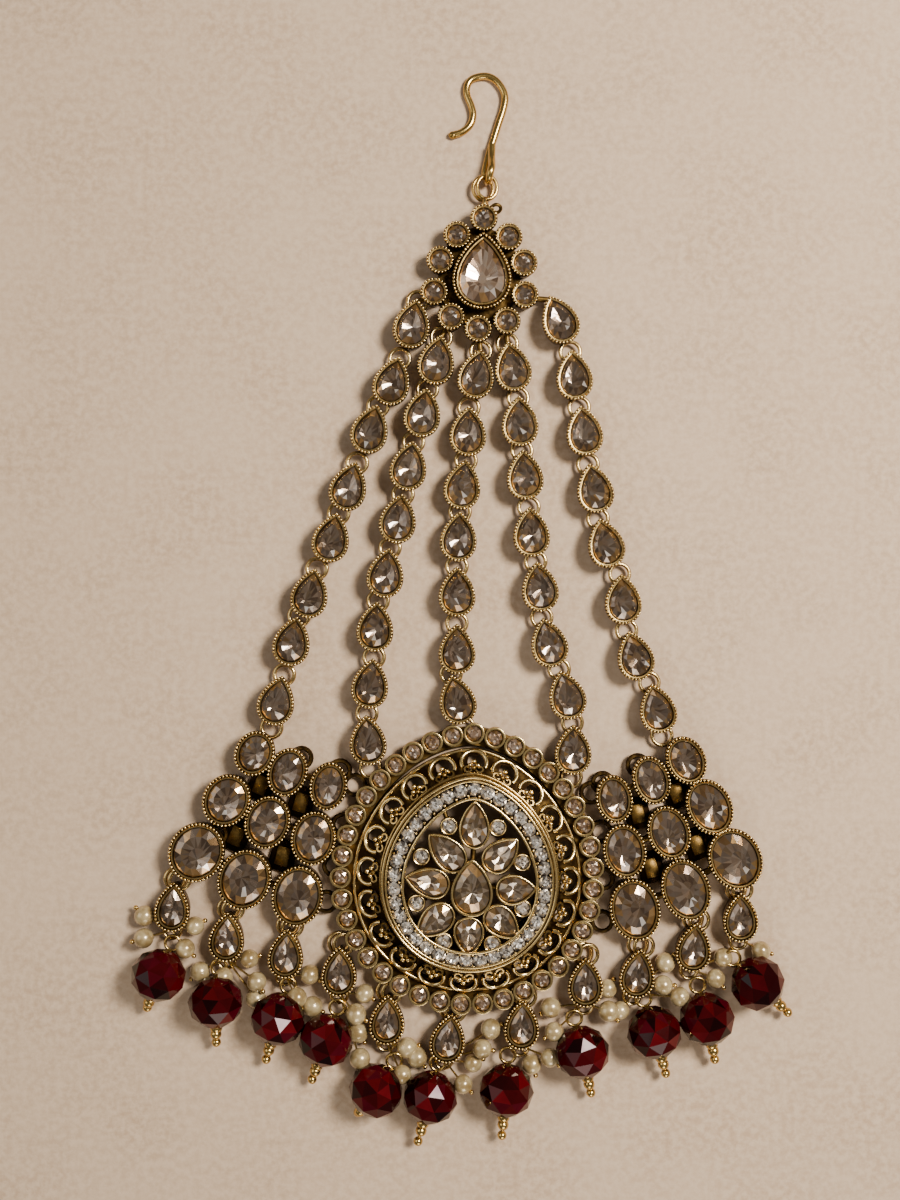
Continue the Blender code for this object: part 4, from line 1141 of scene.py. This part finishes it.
DROPS = (
    (-43.35, -39.84, -43.95, -47.51, -45.46, -53.67, -47.59, -59.07),
    (-35.23, -44.57, -35.68, -51.87, -36.89, -57.66, -37.14, -64.37),
    (-26.21, -47.05, -26.81, -54.42, -27.56, -60.23, -29.57, -66.95),
    (-18.39, -49.76, -18.54, -57.13, -20.34, -63.45, -22.60, -69.98),
    (-11.02, -56.98, -11.40, -64.50, -12.83, -70.97, -15.63, -74.98),
    (-1.40, -59.84, -2.60, -67.21, -4.70, -72.02, -6.54, -79.37),
    (9.28, -57.88, 8.98, -65.10, 6.72, -70.97, 6.18, -78.46),
    (18.76, -51.57, 18.76, -58.63, 18.15, -65.25, 19.66, -72.02),
    (27.18, -50.21, 26.12, -57.21, 28.98, -62.24, 31.02, -69.07),
    (35.60, -46.15, 34.70, -53.37, 36.88, -60.23, 38.44, -66.95),
    (42.21, -41.64, 42.21, -48.86, 44.47, -54.87, 49.50, -59.83),
)
PEARLS = (
    ((-48.18, -45.36), (-48.07, -48.50), (-40.53, -46.88), (-41.82, -50.07)),
    ((-39.77, -53.86), (-35.98, -54.31), (-32.25, -51.89), (-30.97, -55.07), (-31.28, -57.95)),
    ((-23.01, -54.31), (-24.91, -57.50), (-22.63, -59.17)),
    ((-14.74, -57.19), (-15.96, -59.97), (-15.65, -63.11), (-15.35, -66.75)),
    ((-6.70, -66.90), (-8.98, -69.12), (-8.25, -65.44)),
    ((4.52, -62.58), (3.16, -65.23), (1.79, -67.75), (0.27, -70.59)),
    ((10.74, -67.96), (13.42, -66.60)),
    ((13.62, -59.32), (14.08, -62.66), (22.27, -56.44), (22.32, -59.57)),
    ((31.07, -52.49), (30.54, -55.62), (24.20, -59.77), (33.04, -57.35)),
    ((39.87, -51.73), (38.50, -54.62)),
    ((45.63, -50.67),),
)


def eleven(node):
    """The names of the CAD nodes of one kind, one for each drop."""
    return ["%s_%d" % (node, number) for number in range(1, len(DROPS) + 1)]


print("pearls", sum(len(group) for group in PEARLS))

# %% [markdown]
# The red beads are cut glass with triangular facets. A coarse ball with every other row turned
# by half a step, then split into triangles, gives that cut.

# %% Red beads

BEAD = 8.4
BEAD_HALF = BEAD * 0.45
BEAD_SIDES, BEAD_ROWS = 9, 6
RUBY = [(0.040, 0.0007, 0.0015), (0.028, 0.0005, 0.001), (0.055, 0.001, 0.002),
        (0.014, 0.0003, 0.0006), (0.045, 0.0008, 0.004), (0.034, 0.0005, 0.0015),
        (0.006, 0.0002, 0.0004), (0.075, 0.002, 0.004)]
# A painted highlight: a pale pink tone for one facet of some beads.
PAINTED_FLASH = (0.62, 0.50, 0.50)
PAINTED_FLASH_SHARE = 0.4


def red_bead():
    bm = blank()
    bmesh.ops.create_uvsphere(bm, u_segments=BEAD_SIDES, v_segments=BEAD_ROWS, radius=BEAD / 2)
    rows = sorted({round(vert.co.z, 3) for vert in bm.verts})
    for number, row in enumerate(rows):
        if number % 2:
            level = [vert for vert in bm.verts if abs(vert.co.z - row) < 0.01]
            half_step = Matrix.Rotation(math.pi / BEAD_SIDES, 3, "Z")
            bmesh.ops.rotate(bm, verts=level, matrix=half_step)
    bmesh.ops.triangulate(bm, faces=bm.faces[:])
    bmesh.ops.scale(bm, vec=(1.0, 1.0, 0.9), verts=bm.verts)
    return shape_of(bm)


def along_axis(start, end, start_height, end_height):
    """Placement half-way between two raised points, with local Z along them."""
    low = Vector((*start, start_height))
    high = Vector((*end, end_height))
    turn = (high - low).to_track_quat("Z", "Y").to_matrix().to_4x4()
    return Matrix.Translation((low + high) / 2) @ turn


def make_beads():
    glass = blank()
    shape = red_bead()
    for drop in DROPS:
        middle, ball = Vector(drop[4:6]), Vector(drop[6:8])
        axis = along_axis(middle * 2 - ball, ball, 5.2, 3.2) @ Matrix.Rotation(
            draw.uniform(0, 1.0), 4, "Z")
        for face in shape.polygons:
            tint_face(shape, face, draw.choice(RUBY))
        # Painted highlight: on some beads the facet turned most upwards is painted pale pink.
        if draw.random() < PAINTED_FLASH_SHARE:
            facing = axis.to_3x3() @ Matrix.Rotation(0.5, 3, "X")
            painted_flash_face = max(shape.polygons, key=lambda face: (facing @ face.normal).z)
            tint_face(shape, painted_flash_face, PAINTED_FLASH)
        stamp(glass, shape, axis)
    finish_piece("ruby_beads", glass, ruby_look, eleven("ruby_bead"), sharp=None)


make_beads()

# %% [markdown]
# The settings of the drops are a little smaller than those of the chains. Two rings hold each at
# the top and one at the bottom.

# %% Settings of the drops

DROP_SIZE, DROP_RIM = (5.4, 7.6), 0.85


def make_drop_settings():
    metal, stones = blank(), blank()
    cup = collet(pear_edge(*DROP_SIZE, 34), 3.4, DROP_RIM, milled=35)
    inside = drawn_in(pear_edge(*DROP_SIZE, 13), DROP_RIM + STONE_GAP)
    stone = cut_stone(inside, 3.1, 0.40, table=0.62)
    for drop in DROPS:
        place = between(drop[:2], drop[2:4])
        stamp(metal, cup, place)
        set_stone(stones, stone, place)
        for shift, height in ((-0.25, 1.1), (0.55, 1.9)):
            stamp(metal, jump_ring, place @ moved(shift, 3.9, height) @ turned(12, "Y"))
        stamp(metal, jump_ring, place @ moved(0.0, -3.9, 1.4) @
              Matrix.Diagonal((0.85, 0.85, 1.0, 1.0)))
    finish_set("drop", metal, stones, eleven("drop_setting"))


make_drop_settings()

# %% [markdown]
# A headed pin runs through each bead. Below the bead it shows two swellings and a ball, and above
# it the wire turns into a loop. The pearls hang on thinner pins with smaller balls.

# %% Pins and pearls

PEARL_LOW, PEARL_STEP = 1.62, 1.1


def make_pins():
    metal = blank()
    loop = wire_ring(1.15, 0.24, wear_and_shade=0.85, count=16)
    for drop in DROPS:
        middle, ball = Vector(drop[4:6]), Vector(drop[6:8])
        away = (ball - middle).normalized()
        top = middle - away * (BEAD_HALF + 0.9)
        edge = middle + away * BEAD_HALF
        stamp(metal, loop, along_axis(top - away, top + away, 2.4, 2.4) @ turned(90, "X"))
        shank = [Vector((*(middle - away * BEAD * 0.5), 4.6)), Vector((*edge, 3.4)),
                 Vector((*ball, 2.2))]
        stamp(metal, wire(shank, 0.24, wear_and_shade=0.7))
        for share, size in ((0.18, 0.95), (0.50, 0.86)):
            grain_ball(metal, (*edge.lerp(ball, share), 2.95), size, 12, 8, 0.9)
        grain_ball(metal, (*ball, 2.3), 0.72, 12, 8, 0.95)
    finish_piece("head_pins", metal, bright_gold, eleven("head_pin"))


def make_pearls():
    nacre, metal = blank(), blank()
    for drop, group in zip(DROPS, PEARLS):
        joint = Vector(drop[2:4])
        for number, spot in enumerate(group):
            place = Vector((*spot, PEARL_LOW + PEARL_STEP * (number % 2)))
            size = draw.uniform(1.42, PEARL_LOW)
            grain_ball(nacre, place, size, 16, 12, 0.5, (1.0, 1.0, draw.uniform(0.92, 1.0)))
            inward = (Vector((*joint, 1.8)) - place).normalized()
            side = Vector((-inward.y, inward.x, 0.3)) * draw.uniform(-0.6, 0.6)
            outward = (side - inward).normalized()
            end = place + outward * (size + 0.25)
            end.z = max(end.z, 0.45)
            path = [end, place, place + inward * (size + 0.5), Vector((*joint, 1.8))]
            stamp(metal, wire(path, 0.16, wear_and_shade=0.7, sides=1))
            grain_ball(metal, end, 0.38, 8, 6, 0.95)
    finish_piece("pearls", nacre, pearl_look, eleven("pearl_wire"))
    finish_piece("pearl_pins", metal, bright_gold)


make_pins()
make_pearls()
